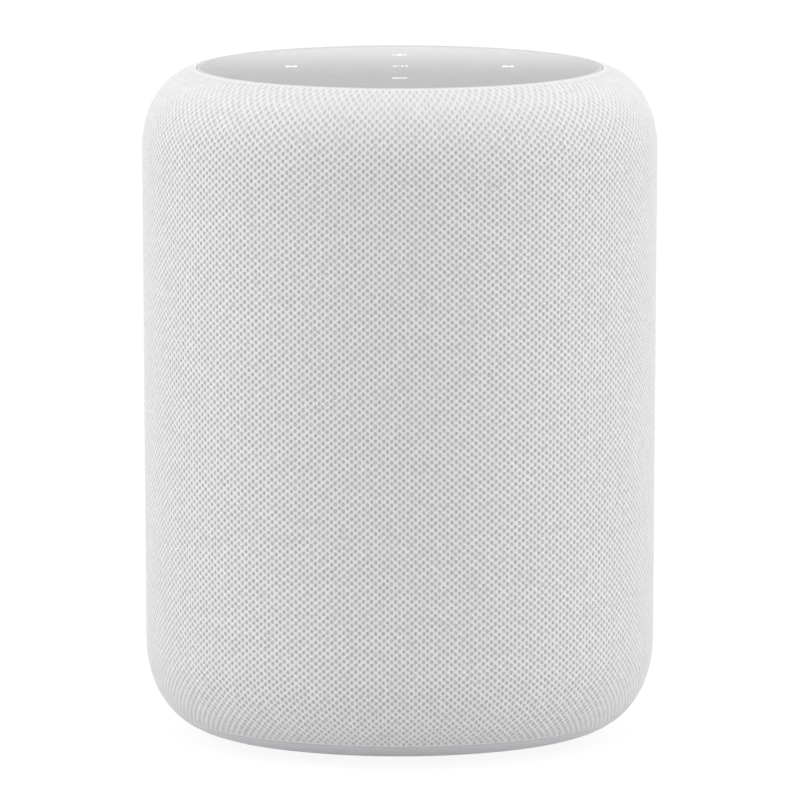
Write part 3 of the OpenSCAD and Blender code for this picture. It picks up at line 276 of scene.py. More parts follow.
# %% Lattice of stitches
WALES = 190
COURSES = 92
COLUMNS = 2 * WALES
ROWS = 2 * COURSES
FOURFOLD = 0.078            # how much wider the wales lie halfway between the four beds' ends
STRETCH_PLACE = (0, 0.038, 0.06, 0.105, 0.5, 0.84, 0.87, 0.912, 0.936, 0.955, 1)
STRETCH = (1.2, 1.12, 1.07, 0.98, 0.985, 1.0, 1.02, 1.15, 1.33, 1.67, 2.6)


def counted(at, spacing, total):
    """How many stitches lie before each place, if they are spaced so, out of a total."""
    density = 1 / spacing
    stitches = np.diff(at) * (density[1:] + density[:-1]) / 2
    before = np.concatenate([[0], np.cumsum(stitches)])
    return before * total / before[-1]


turns = np.linspace(0, 2 * math.pi, 1441)
columns_at = counted(turns, 1 + FOURFOLD * (1 - np.cos(4 * turns)), COLUMNS)
rows_at = counted(along, np.interp(along / sleeve_length, STRETCH_PLACE, STRETCH), ROWS)


def on_body(column, row, depth):
    """Points of the sleeve for columns round the body, rows up it, and a depth in metres."""
    place = np.interp(np.clip(row, 0, ROWS), rows_at, along)
    r = np.interp(place, along, outline[:, 0]) - depth * np.interp(place, along, outward[:, 0])
    z = np.interp(place, along, outline[:, 1]) - depth * np.interp(place, along, outward[:, 1])
    a = np.interp(column % COLUMNS, columns_at, turns)
    return np.stack([r * np.sin(a), -r * np.cos(a), z], axis=-1)


grid_column, grid_row = np.meshgrid(np.arange(COLUMNS), np.arange(ROWS + 1), indexing="ij")
is_eye = (grid_column + grid_row) % 2 == 0
eyes = np.stack([grid_column[is_eye], grid_row[is_eye]], axis=1)
print(len(eyes), "eyes,", round(2 * math.pi * body_r / WALES / MM, 2), "mm apart round the body")

# %% [markdown]
# The sleeve has one opening, for the connector panel in the back. Eyes inside it are left out,
# and the points along the cut are moved onto the opening's round-cornered outline, so that the
# cloth ends in a clean edge as if it were glued round the panel.

# %% Opening for the connector panel
recess_low, recess_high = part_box("connector_panel")
WINDOW_GAP = 0.2 * MM
WINDOW_ROUND = 6.6 * MM
window_middle = (recess_low.z + recess_high.z) / 2
window_half = np.array([recess_high.x, (recess_high.z - recess_low.z) / 2]) + WINDOW_GAP


def window_edge(x, z):
    """Signed distance to the opening's outline, negative inside, and the nearest point on it."""
    p = np.stack([x, z - window_middle], axis=-1)
    sign = np.where(p < 0, -1.0, 1.0)
    q = np.abs(p) - (window_half - WINDOW_ROUND)
    out = np.maximum(q, 0)
    far = np.linalg.norm(out, axis=-1)
    distance = far + np.minimum(q.max(axis=-1), 0) - WINDOW_ROUND
    in_corner = (q > 0).all(axis=-1)
    side = q[..., 0] > q[..., 1]
    round_part = out / np.maximum(far, 1e-9)[..., None] * WINDOW_ROUND
    flat_part = np.stack([np.where(side, WINDOW_ROUND, q[..., 0]),
                          np.where(side, q[..., 1], WINDOW_ROUND)], axis=-1)
    edge = np.where(in_corner[..., None], round_part, flat_part) + (window_half - WINDOW_ROUND)
    edge *= sign
    return distance, edge[..., 0], edge[..., 1] + window_middle


def in_window(column, row):
    """Whether points of the sleeve lie inside the opening."""
    x, y, z = np.moveaxis(on_body(column, row, 0), -1, 0)
    return (window_edge(x, z)[0] < 0) & (y > 0)


eyes = eyes[~in_window(eyes[:, 0].astype(float), eyes[:, 1].astype(float))]
print(len(eyes), "eyes stay outside the opening")

# %% [markdown]
# Each eye is one small patch: eight points on its diamond, which it shares with its neighbours,
# a ring where the yarn rolls over into the pit, a ring on the pit's floor, and a middle. The
# shared points are found by giving each a whole-number key in quarter stitches.

# %% Points on the diamonds
AROUND = np.array([(2, 0), (1, 1), (0, 2), (-1, 1), (-2, 0), (-1, -1), (0, -2), (1, -1)])
KEY = 2 * ROWS + 8

spots = 2 * eyes[:, None, :] + AROUND
keys = (spots[..., 0] % (2 * COLUMNS)) * KEY + spots[..., 1] + 4
diamond_keys, diamond = np.unique(keys, return_inverse=True)
diamond = diamond.reshape(keys.shape)
point_column = (diamond_keys // KEY) / 2
point_row = (diamond_keys % KEY - 4) / 2


def sides_used_once():
    """The diamonds' sides that only one eye has: both hems and the edge of the opening."""
    ends = np.stack([diamond[:, 0::2], np.roll(diamond[:, 0::2], -1, axis=1)], axis=-1)
    flat = np.sort(ends.reshape(-1, 2), axis=1)
    _, which, count = np.unique(flat, axis=0, return_inverse=True, return_counts=True)
    return (count[which.ravel()] == 1).reshape(ends.shape[:2])


loose_side = sides_used_once()
on_edge = np.zeros(len(point_column), bool)
for k in range(4):
    for corner in (2 * k, 2 * k + 1, (2 * k + 2) % 8):
        on_edge[diamond[loose_side[:, k], corner]] = True
at_window = on_edge & (point_row > 1) & (point_row < ROWS - 1)
x, y, z = np.moveaxis(on_body(point_column, point_row, 0), -1, 0)
_, edge_x, edge_z = window_edge(x, z)
edge_r_here = np.interp(edge_z, outline[:, 1], outline[:, 0])
edge_column = np.interp(math.pi - np.arcsin(edge_x / edge_r_here), turns, columns_at)
edge_row = np.interp(edge_z, outline[:, 1], rows_at)
point_column = np.where(at_window, edge_column, point_column)
point_row = np.where(at_window, edge_row, np.clip(point_row, 0, ROWS))
print(len(point_column), "shared points,", int(at_window.sum()), "of them moved to the opening")

# %% [markdown]
# Now the relief. The crests of the yarns run along the diamonds, highest where they cross. The
# eye's oval is a little taller than it is wide. Most eyes of every second row show a loop of
# the layer below as a small bump in the middle of the pit. Where the cloth is pulled over the
# shoulder its eyes close and grow shallow, and towards the hem they open. Eyes that the hem or
# the opening cuts are shut, as the cloth is turned in and glued there. The random numbers are
# seeded, so the cloth is the same every time.

# %% Relief of the eyes
RIM = (0.50, 0.65)          # the oval where the yarn rolls over, in columns and rows
FLOOR = (0.37, 0.52)        # the oval of the pit's floor
RIM_DEPTH = 0.05 * MM
PIT_DEPTH = 0.42 * MM
LOOP_DEPTH = 0.16 * MM
OPEN_PLACE = (0, 0.09, 0.12, 0.87, 0.925, 0.95, 0.97, 1)     # shares of the sleeve's length
OPEN = (1.2, 1.22, 1.12, 1.06, 0.8, 0.57, 0.56, 0.64)        # and how deep the eyes are there
TURNED_IN = 0.22 * MM       # how far the cloth turns in round the opening
HEM_IN = 0.06 * MM          # and along its two hems
PUCKER = 0.20 * MM          # the small dimples of the shut eyes
CLOTH = 0.74 * MM           # thickness of the cloth

rng = np.random.default_rng(7)
count = len(eyes)
is_cut = loose_side.any(axis=1) | at_window[diamond].any(axis=1)
angle = np.arctan2(AROUND[:, 1], AROUND[:, 0])
middle = eyes.astype(float)
opened = np.interp(np.interp(middle[:, 1], rows_at, along) / sleeve_length, OPEN_PLACE, OPEN)
has_loop = rng.random(count) < np.where(eyes[:, 1] % 2 == 0, 0.72, 0.16)
wander = rng.normal(0, 0.035, (count, 2))
swell = rng.normal(1, 0.05, (count, 1, 1))


def ring(oval, pull):
    """A ring of eight points in every eye: an oval, or a shrunk diamond in an eye that is cut."""
    shape = np.stack([oval[0] * np.cos(angle), oval[1] * np.sin(angle)], axis=1)
    width = swell * (0.86 + 0.14 * np.minimum(opened, 1))[:, None, None]
    open_eye = (middle + wander)[:, None, :] + shape * width
    corners = np.stack([point_column[diamond], point_row[diamond]], axis=-1)
    laps = np.round((corners[..., 0] - middle[:, None, 0]) / COLUMNS)
    corners[..., 0] -= laps * COLUMNS
    heart = corners.mean(axis=1, keepdims=True)
    closed_eye = heart + (corners - heart) * pull
    return np.where(is_cut[:, None, None], closed_eye, open_eye), heart[:, 0]


rim, heart = ring(RIM, 0.6)
floor, _ = ring(FLOOR, 0.3)
middle_place = np.where(is_cut[:, None], heart, middle + wander)
rim_depth = np.where(is_cut, 0, RIM_DEPTH)[:, None] + rng.normal(0, 0.008 * MM, (count, 8))
floor_depth = np.where(is_cut, 0, PIT_DEPTH * opened)[:, None]
floor_depth = floor_depth + rng.normal(0, 0.02 * MM, (count, 8))
middle_depth = np.where(has_loop, LOOP_DEPTH, PIT_DEPTH * 1.05) * opened
middle_depth = np.where(is_cut, PUCKER, middle_depth)
is_crossing = (diamond_keys // KEY + diamond_keys % KEY) % 2 == 0
is_crossing &= (diamond_keys % KEY) % 2 == 0
point_depth = np.where(is_crossing, 0.0, 0.03 * MM) + rng.normal(0, 0.006 * MM, len(point_row))
point_depth = np.where(on_edge, np.where(at_window, TURNED_IN, HEM_IN), point_depth)
print(int(has_loop.sum()), "eyes show a loop,", int(is_cut.sum()), "are closed at an edge")

# %% [markdown]
# The patch of one eye is a fan of eight triangles in the pit and two bands of eight quads up to
# the diamond. Behind it lies one plain quad, the back of the cloth. The mesh is cut into ten
# panels along the diamonds, as one mesh of all eyes would be too heavy to handle. Where a panel
# ends, small faces join its front to its back, so that each panel is a closed body. The panels
# take their normals from the whole sleeve, so no seam shows between them.

# %% Normals of the whole sleeve
point_place = on_body(point_column, point_row, point_depth)
rim_place = on_body(rim[..., 0], rim[..., 1], rim_depth)
floor_place = on_body(floor[..., 0], floor[..., 1], floor_depth)
middle_place = on_body(middle_place[:, 0], middle_place[:, 1], middle_depth)
ahead = (np.arange(8) + 1) % 8
n_point, n_ring = len(point_place), 8 * count
rim_at = n_point + np.arange(n_ring).reshape(count, 8)
floor_at = rim_at + n_ring
middle_at = n_point + 2 * n_ring + np.arange(count)
front = np.concatenate([point_place, rim_place.reshape(-1, 3), floor_place.reshape(-1, 3),
                        middle_place])


def band(outer, inner):
    """Quads between two rings of every eye, with their faces outwards."""
    return np.stack([outer, outer[:, ahead], inner[:, ahead], inner], axis=-1)


quads = np.stack([band(diamond, rim_at), band(rim_at, floor_at)], axis=1).reshape(count, 16, 4)
middles = np.broadcast_to(middle_at[:, None], (count, 8))
fans = np.stack([floor_at, floor_at[:, ahead], middles], axis=-1)


def vertex_normals():
    """The front's vertex normals, weighted by the area of the faces."""
    total = np.zeros_like(front)
    q = quads.reshape(-1, 4)
    n = np.cross(front[q[:, 2]] - front[q[:, 0]], front[q[:, 3]] - front[q[:, 1]])
    for corner in range(4):
        for axis in range(3):
            total[:, axis] += np.bincount(q[:, corner], n[:, axis], len(front))
    f = fans.reshape(-1, 3)
    n = np.cross(front[f[:, 1]] - front[f[:, 0]], front[f[:, 2]] - front[f[:, 0]])
    for corner in range(3):
        for axis in range(3):
            total[:, axis] += np.bincount(f[:, corner], n[:, axis], len(front))
    return total / np.maximum(np.linalg.norm(total, axis=1), 1e-12)[:, None]


normals = vertex_normals()
back_place = on_body(point_column, point_row, CLOTH)
print(len(front), "points in front,", (16 + 8) * count, "faces")

# %% [markdown]
# Two values are stored on the points for the material: how much of the outer yarn a point
# belongs to, and a random tone for each eye. The map for baked textures gives the front nearly
# the whole square, and the back and the cut edges a strip along its bottom.

# %% Values for the material
yarn = np.concatenate([np.ones(n_point), np.full(n_ring, 0.92), np.full(n_ring, 0.1),
                       np.where(is_cut, 1, np.where(has_loop, 0.62, 0.0))])
yarn[floor_at] = np.where(is_cut, 1, 1 - 0.9 * np.minimum(opened, 1.1))[:, None]
eye_tone = rng.random(count)
tone = np.concatenate([rng.random(n_point), np.repeat(eye_tone, 8), np.repeat(eye_tone, 8),
                       eye_tone])
front_column = np.concatenate([point_column, rim[..., 0].ravel(), floor[..., 0].ravel(),
                               middle[:, 0]])
front_row = np.concatenate([point_row, rim[..., 1].ravel(), floor[..., 1].ravel(), middle[:, 1]])
print("yarn share", round(float(yarn.mean()), 2))

# %% Panels of the sleeve
PANELS = 10
PANEL_COLUMNS = COLUMNS // PANELS
BACK_STRIP = 0.06


def cloth_panel(number):
    """Builds one closed panel of the sleeve as a mesh object."""
    first = number * PANEL_COLUMNS - PANEL_COLUMNS // 2
    turned = (eyes[:, 0] - first) % COLUMNS
    mine = turned < PANEL_COLUMNS
    sides = np.stack([diamond[mine][:, [k, k + 1, (k + 2) % 8]] for k in (0, 2, 4, 6)], axis=1)
    sides = sides.reshape(-1, 3)
    ends = np.sort(sides[:, [0, 2]], axis=1)
    _, which, uses = np.unique(ends, axis=0, return_inverse=True, return_counts=True)
    open_sides = sides[uses[which.ravel()] == 1]
    backs = diamond[mine][:, [6, 4, 2, 0]] + len(front)
    walls = np.stack([open_sides[:, 2], open_sides[:, 1], open_sides[:, 0],
                      open_sides[:, 0] + len(front), open_sides[:, 2] + len(front)], axis=1)
    faces = [quads[mine].reshape(-1, 4), fans[mine].reshape(-1, 3), backs, walls]
    corners = np.concatenate([f.ravel() for f in faces])
    sizes = np.concatenate([np.full(len(f), f.shape[1]) for f in faces])
    used, corners = np.unique(corners, return_inverse=True)
    corners = corners.ravel()
    places = np.concatenate([front, back_place])[used]
    mesh = bpy.data.meshes.new(f"knit_panel_{number + 1:02d}")
    mesh.vertices.add(len(places))
    mesh.vertices.foreach_set("co", places.astype(np.float32).ravel())
    mesh.loops.add(len(corners))
    mesh.loops.foreach_set("vertex_index", corners.astype(np.int32))
    mesh.polygons.add(len(sizes))
    starts = np.concatenate([[0], np.cumsum(sizes)[:-1]])
    mesh.polygons.foreach_set("loop_start", starts.astype(np.int32))
    mesh.update(calc_edges=True)
    mesh.validate()
    for name, values in (("yarn", yarn), ("tone", tone)):
        layer = mesh.attributes.new(name, "FLOAT", "POINT")
        value = np.where(used < len(front), values[np.minimum(used, len(front) - 1)], 0.5)
        layer.data.foreach_set("value", value.astype(np.float32))
    map_panel(mesh, used, corners, sizes, first, int(mine.sum()))
    is_front = used < len(front)
    behind = np.where(is_front, 0, used - len(front))
    mine_normals = np.where(is_front[:, None], normals[np.minimum(used, len(front) - 1)],
                            -normals[np.minimum(behind, n_point - 1)])
    mesh.polygons.foreach_set("use_smooth", np.ones(len(sizes), bool))
    mesh.normals_split_custom_set_from_vertices(mine_normals.tolist())
    panel = bpy.data.objects.new(mesh.name, mesh)
    scene.collection.objects.link(panel)
    return panel


def map_panel(mesh, used, corners, sizes, first, eye_count):
    """Gives a panel its map: the front on the square, the back and the cut edges in a strip."""
    is_front = used < len(front)
    at = np.where(is_front, np.minimum(used, len(front) - 1), used - len(front))
    column = np.where(is_front, front_column[at], point_column[np.minimum(at, n_point - 1)])
    row = np.where(is_front, front_row[at], point_row[np.minimum(at, n_point - 1)])
    span = PANEL_COLUMNS + 4
    across = ((column - first + 2) % COLUMNS) / span
    up = BACK_STRIP + (1 - BACK_STRIP) * row / ROWS
    low = BACK_STRIP * (0.05 + 0.8 * row / ROWS)
    behind = np.zeros(len(corners), bool)
    behind[(16 * 4 + 8 * 3) * eye_count:] = True
    lift = np.where(is_front[corners] & behind, 0.05 * BACK_STRIP, 0)
    layer = mesh.uv_layers.new(name="OFBake")
    uv = np.stack([across[corners], np.where(behind, low[corners] + lift, up[corners])], axis=1)
    layer.data.foreach_set("uv", uv.astype(np.float32).ravel())


panels = [cloth_panel(number) for number in range(PANELS)]
triangles = sum(len(face.vertices) - 2 for face in panels[0].data.polygons)
print(len(panels), "panels with about", triangles, "triangles each")

# %% [markdown]
# The yarn is matt white polyester. Its material reads the stored values: the outer yarn is
# white, the layer down in the eyes is greyer, and each eye differs a little. Fine noise stands
# for the filaments that the yarn is spun from, and a soft sheen lifts the cloth at a grazing
# angle, as fuzz does.


# %% Knit material
def add(tree, kind, **settings):
    """Adds a node, sets its properties, and returns it."""
    node = tree.nodes.new("ShaderNode" + kind)
    for name, value in settings.items():
        setattr(node, name, value)
    return node


def noise(tree, scale, detail=3.0, stretch=(1, 1, 1)):
    """A noise texture in object space, with features about 1 / scale metres large."""
    place = add(tree, "TexCoord")
    mapping = add(tree, "Mapping")
    mapping.inputs["Scale"].default_value = stretch
    texture = add(tree, "TexNoise")
    texture.inputs["Scale"].default_value = scale
    texture.inputs["Detail"].default_value = detail
    tree.links.new(place.outputs["Object"], mapping.inputs["Vector"])
    tree.links.new(mapping.outputs["Vector"], texture.inputs["Vector"])
    return texture.outputs["Fac"]


def blended(tree, factor, first, second):
    """A colour that goes from first to second with a factor."""
    mix = add(tree, "Mix", data_type="RGBA")
    tree.links.new(factor, mix.inputs["Factor"])
    for socket, colour in ((mix.inputs["A"], first), (mix.inputs["B"], second)):
        if isinstance(colour, bpy.types.NodeSocket):
            tree.links.new(colour, socket)
        else:
            socket.default_value = (*colour, 1)
    return mix.outputs["Result"]


def bumped(tree, shader, height, depth, strength=1.0):
    """Raises a shader's surface by a height pattern, to a depth in metres."""
    bump = add(tree, "Bump")
    bump.inputs["Distance"].default_value = depth
    bump.inputs["Strength"].default_value = strength
    tree.links.new(height, bump.inputs["Height"])
    tree.links.new(bump.outputs["Normal"], shader.inputs["Normal"])


YARN_WHITE = (0.80, 0.80, 0.80)
YARN_SHADE = (0.75, 0.75, 0.745)
EYE_GREY = (0.60, 0.60, 0.59)

knit, tree, shader = new_material("knit_polyester")
yarn_share = add(tree, "Attribute", attribute_name="yarn")
yarn_tone = add(tree, "Attribute", attribute_name="tone")
white = blended(tree, yarn_tone.outputs["Fac"], YARN_SHADE, YARN_WHITE)
cloth_colour = blended(tree, yarn_share.outputs["Fac"], EYE_GREY, white)
tree.links.new(cloth_colour, shader.inputs["Base Color"])
shader.inputs["Roughness"].default_value = 0.85
shader.inputs["Specular IOR Level"].default_value = 0.3
shader.inputs["Sheen Weight"].default_value = 0.25
shader.inputs["Sheen Roughness"].default_value = 0.5
bumped(tree, shader, noise(tree, 9000, 2.0), 0.03 * MM, 0.6)
for panel in panels:
    panel.data.materials.append(knit)
print("knit material on", len(panels), "panels")

# %% [markdown]
# Every panel rides on the cabinet, and the plain solid sleeve is hidden.

# %% Dress the cabinet
for panel in panels:
    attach(panel, "cabinet")
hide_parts("fabric_sleeve")

# %% [markdown]
# ## Finishes
#
# Every other part shows its engineered shape, and gets the finish that the record names for it.
# One function makes most of them: a colour that wanders a little, a roughness that wanders with
# it, and a fine grain that is raised off the surface. A long stretch of the grain gives brushed
# metal, and a coarse deep one gives felt.


# %% Grained finishes
def grained(name, colour, roughness, grain, depth, vary=0.05, metallic=0.0, stretch=(1, 1, 1)):
    """Makes a material: grain in features per metre, its depth in mm, vary as a share."""
    material, tree, shader = new_material(name)
    cloud = noise(tree, 90, 4.0)
    low = [channel * (1 - vary) for channel in colour]
    high = [min(channel * (1 + vary), 0.95) for channel in colour]
    tree.links.new(blended(tree, cloud, low, high), shader.inputs["Base Color"])
    rough = ranged(tree, noise(tree, grain / 4, 2.0, stretch), (0, 1),
                   (roughness - 0.04, roughness + 0.04))
    tree.links.new(rough, shader.inputs["Roughness"])
    shader.inputs["Metallic"].default_value = metallic
    bumped(tree, shader, noise(tree, grain, 3.0, stretch), depth * MM)
    return material


# Colour, roughness, grain, its depth in mm, and where they count: vary, metallic and stretch
LOOKS = {
    # Plastics: moulded with a fine spark-eroded texture
    "grille_plastic": ((0.58, 0.58, 0.59), 0.5, 4000, 0.02),
    "panel_plastic": ((0.73, 0.73, 0.73), 0.08, 900, 0.0, 0.015),
    "black_plastic": ((0.022, 0.022, 0.024), 0.48, 5000, 0.03),
    "base_plastic": ((0.60, 0.605, 0.63), 0.42, 3000, 0.008, 0.02),
    "button_plastic": ((0.16, 0.165, 0.175), 0.38, 3500, 0.01),
    "led_resin": ((0.86, 0.83, 0.66), 0.25, 2500, 0.005),
    "wire_plastic": ((0.30, 0.03, 0.03), 0.42, 3000, 0.01),
    "flex_film": ((0.52, 0.22, 0.03), 0.28, 2500, 0.004, 0.12),
    "transformer_tape": ((0.78, 0.52, 0.06), 0.35, 1200, 0.05),
    "capacitor_sleeve": ((0.02, 0.03, 0.09), 0.3, 1500, 0.01),
    # Rubbers
    "seal_rubber": ((0.02, 0.02, 0.02), 0.72, 3500, 0.03, 0.15),
    "foot_silicone": ((0.52, 0.52, 0.53), 0.62, 2500, 0.01, 0.03),
    "pad_silicone": ((0.42, 0.48, 0.52), 0.7, 3000, 0.03),
    # Metals
    "trim_metal": ((0.71, 0.71, 0.715), 0.5, 5000, 0.002, 0.02),
    "plated_metal": ((0.78, 0.77, 0.73), 0.28, 3000, 0.004, 0.06, 1.0, (1, 0.08, 1)),
    "screw_steel": ((0.36, 0.36, 0.37), 0.34, 4000, 0.006, 0.1, 1.0),
    "motor_steel": ((0.60, 0.60, 0.57), 0.38, 2500, 0.01, 0.1, 1.0),
    "coil_copper": ((0.78, 0.33, 0.15), 0.3, 5000, 0.05, 0.06, 0.9, (0.05, 1, 0.05)),
    "dome_aluminium": ((0.76, 0.76, 0.78), 0.27, 6000, 0.004, 0.03, 1.0),
    "heatsink_aluminium": ((0.68, 0.68, 0.70), 0.36, 3500, 0.02, 0.05, 1.0, (1, 1, 0.04)),
    # Ceramic, paper, cloth and wadding
    "magnet_ferrite": ((0.05, 0.05, 0.055), 0.6, 2500, 0.05, 0.15),
    "cone_paper": ((0.04, 0.04, 0.042), 0.8, 1600, 0.1, 0.2, 0.0, (1, 1, 0.3)),
    "spider_cloth": ((0.60, 0.38, 0.12), 0.9, 1500, 0.2, 0.15),
    "wadding_fibre": ((0.80, 0.80, 0.77), 0.95, 450, 1.5, 0.06, 0.0, (1, 1, 0.25)),
}
finishes = {name: grained(name, *look) for name, look in LOOKS.items()}
wadding_shader = finishes["wadding_fibre"].node_tree.nodes["Principled BSDF"]
wadding_shader.inputs["Sheen Weight"].default_value = 0.3
print(len(finishes), "grained finishes")

# %% [markdown]
# Two finishes need more than grain. The symbols on the touch panel are lit from below by small
# lamps, so they are a plain white with a glow. A circuit board is green lacquer over copper:
# diagonal tracks, made from distorted bands, with small soldered pads where cells of a square
# pattern have their middles.

# %% Symbols and circuit boards
legend, tree, shader = new_material("legend_white")
white_ink = blended(tree, noise(tree, 700), (0.84, 0.84, 0.84), (0.90, 0.90, 0.90))
tree.links.new(white_ink, shader.inputs["Base Color"])
shader.inputs["Roughness"].default_value = 0.4
shader.inputs["Emission Color"].default_value = (1, 1, 1, 1)
shader.inputs["Emission Strength"].default_value = 0.3
finishes["legend_white"] = legend

TRACK_DARK = (0.006, 0.075, 0.035)
TRACK_LIGHT = (0.015, 0.16, 0.075)
PAD_TIN = (0.62, 0.61, 0.56)

board, tree, shader = new_material("circuit_board")
board_place = add(tree, "TexCoord")
stripes = add(tree, "TexWave", wave_type="BANDS", bands_direction="DIAGONAL")
stripes.inputs["Scale"].default_value = 220
stripes.inputs["Distortion"].default_value = 3.0
stripes.inputs["Detail Scale"].default_value = 0.3
tree.links.new(board_place.outputs["Object"], stripes.inputs["Vector"])
track = ranged(tree, stripes.outputs["Fac"], (0.55, 0.65), (0, 1), smooth=True)
cells = add(tree, "TexVoronoi", distance="CHEBYCHEV")
cells.inputs["Scale"].default_value = 230
cells.inputs["Randomness"].default_value = 0.55
tree.links.new(board_place.outputs["Object"], cells.inputs["Vector"])
pad = ranged(tree, cells.outputs["Distance"], (0.16, 0.12), (0, 1), smooth=True)
lacquer = blended(tree, track, TRACK_DARK, TRACK_LIGHT)
tree.links.new(blended(tree, pad, lacquer, PAD_TIN), shader.inputs["Base Color"])
tree.links.new(pad, shader.inputs["Metallic"])
shader.inputs["Roughness"].default_value = 0.32
bumped(tree, shader, track, 0.03 * MM)
finishes["circuit_board"] = board
finishes["knit_fabric"] = knit

parts_by_slot = {}
for part in frame["record"]["subparts"]:
    parts_by_slot.setdefault(part["material_slot"], []).append(part["node"])
    for material_slot in nodes[part["node"]].material_slots:
        material_slot.material = finishes[part["material_slot"]]
print(len(parts_by_slot), "slots filled on", sum(map(len, parts_by_slot.values())), "parts")

# %% [markdown]
# ## Softened parts
#
# An engineered edge is as sharp as its drawing, but a moulded or turned one has a small radius
# that catches the light. The parts that can be seen or touched from outside are therefore
# copied; the copy's flat faces are joined, its edges bevelled, and it takes the part's place.
# The trim ring's face also slopes in a little, from the cloth down to the touch panel.


# %% Softened copies
def select_only(obj):
    """Selects one object alone and makes it the active one."""
    bpy.ops.object.select_all(action="DESELECT")
    obj.select_set(True)
    bpy.context.view_layer.objects.active = obj


def settle(obj):
    """Applies an object's modifiers and writes its place, turn and size into its vertices."""
    select_only(obj)
    for modifier in list(obj.modifiers):
        bpy.ops.object.modifier_apply(modifier=modifier.name)
    bpy.ops.object.transform_apply(location=True, rotation=True, scale=True)


def dress(obj, body, slot):
    """Gives a new piece its body and its finish."""
    obj.data.materials.clear()
    obj.data.materials.append(finishes[slot])
    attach(obj, body)


def bevelled(obj, width, segments=2, angle=32):
    """Rounds an object's edges that are sharper than an angle in degrees."""
    modifier = obj.modifiers.new("bevel", "BEVEL")
    modifier.width = width
    modifier.segments = segments
    modifier.limit_method = "ANGLE"
    modifier.angle_limit = math.radians(angle)
    settle(obj)
    select_only(obj)
    bpy.ops.object.shade_smooth_by_angle(angle=math.radians(angle))


def select_faces(obj, test):
    """Opens an object for editing with the faces selected whose normals pass a test."""
    bpy.ops.object.mode_set(mode="EDIT")
    bpy.ops.mesh.select_mode(type="FACE")
    bpy.ops.mesh.select_all(action="DESELECT")
    bpy.ops.object.mode_set(mode="OBJECT")
    for face in obj.data.polygons:
        face.select = test(face.normal)
    bpy.ops.object.mode_set(mode="EDIT")


def softened(node, slot, width, body="cabinet", segments=2, shape=None):
    """Stands a copy of a CAD part with rounded edges in its place, reshaped if asked."""
    piece = nodes[node].copy()
    piece.data = nodes[node].data.copy()
    piece.parent = None
    piece.name = piece.data.name = f"{node}_soft"
    scene.collection.objects.link(piece)
    select_only(piece)
    bpy.ops.mesh.customdata_custom_splitnormals_clear()
    bpy.ops.object.mode_set(mode="EDIT")
    bpy.ops.mesh.select_all(action="SELECT")
    bpy.ops.mesh.remove_doubles(threshold=0.001 * MM)
    if shape:
        bpy.ops.mesh.tris_convert_to_quads()
        bpy.ops.object.mode_set(mode="OBJECT")
        shape(piece)
    else:
        bpy.ops.mesh.dissolve_limited(angle_limit=math.radians(0.5))
        bpy.ops.object.mode_set(mode="OBJECT")
    bevelled(piece, width, segments)
    dress(piece, body, slot)
    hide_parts(node)
    return piece


RING_SINK = 0.18 * MM       # how far the ring's crest is lowered to the cloth's level
RING_SLOPE = 0.18 * MM      # how far its face falls from there to the edge of the panel


def sloped(ring_piece):
    """Lowers a ring's crest, and its inner edge a little more, so that its face slopes in."""
    top = max(v.co.z for v in ring_piece.data.vertices)
    crest = [v for v in ring_piece.data.vertices if v.co.z > top - 0.01 * MM]
    middle_r = sum(v.co.xy.length for v in crest) / len(crest)
    for vertex in crest:
        vertex.co.z -= RING_SINK + (RING_SLOPE if vertex.co.xy.length < middle_r else 0)


piece = softened("trim_ring", "trim_metal", 0.08 * MM, shape=sloped)
print("trim_ring sloped:", len(piece.data.polygons), "faces")
for node, slot, width in (("bottom_cover", "base_plastic", 0.15 * MM),
                          ("foot_ring", "foot_silicone", 0.30 * MM),
                          ("connector_panel", "base_plastic", 0.25 * MM),
                          ("mains_inlet", "black_plastic", 0.30 * MM),
                          ("mains_pins", "plated_metal", 0.45 * MM),
                          ("ethernet_jack", "plated_metal", 0.12 * MM),
                          ("aux_jack", "black_plastic", 0.15 * MM)):
    piece = softened(node, slot, width)
    print(node, "softened:", len(piece.data.polygons), "faces")
softened("setup_button", "button_plastic", 0.25 * MM, "setup_button_body")

# %% [markdown]
# ## The touch panel
#
# The panel's glossy face is crowned by a quarter of a millimetre, too little to see as a shape
# but enough to bend its reflection. It starts as a flat cylinder. Its top face is inset ring by
# ring, and each new ring is lifted a little, so that the rings follow a parabola.

# %% Crowned touch panel
CROWN = 0.25 * MM
BELOW_SYMBOLS = 0.03 * MM       # the symbols stand this little proud of the crown
RINGS = 16
EDGE = 0.3 * MM                 # a narrow first ring, so that only it takes up the edge's turn
BEAD = 0.12 * MM                # the bead of glue that fills the gap to the trim ring
LAST_RING = 3 * MM              # radius of the last ring, which closes in a point

panel_low, panel_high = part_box("touch_panel")
panel_r = panel_high.x + BEAD
edge_z = panel_high.z - BELOW_SYMBOLS - CROWN
bpy.ops.mesh.primitive_cylinder_add(vertices=180, radius=panel_r, depth=edge_z - panel_low.z,
                                    location=(0, 0, (edge_z + panel_low.z) / 2))
crowned = bpy.context.object
crowned.name = crowned.data.name = "touch_panel_crowned"
select_faces(crowned, lambda normal: normal.z > 0.9)
radii = np.append(panel_r, np.linspace(panel_r - EDGE, LAST_RING, RINGS))
lifts = -CROWN * np.diff((radii / panel_r) ** 2)
for narrower, lift in zip(-np.diff(radii), lifts):
    bpy.ops.mesh.inset(thickness=narrower)
    bpy.ops.transform.translate(value=(0, 0, lift))
bpy.ops.mesh.poke()
bpy.ops.object.mode_set(mode="OBJECT")
settle(crowned)
bevelled(crowned, 0.08 * MM, 2)
dress(crowned, "cabinet", "panel_plastic")
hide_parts("touch_panel")
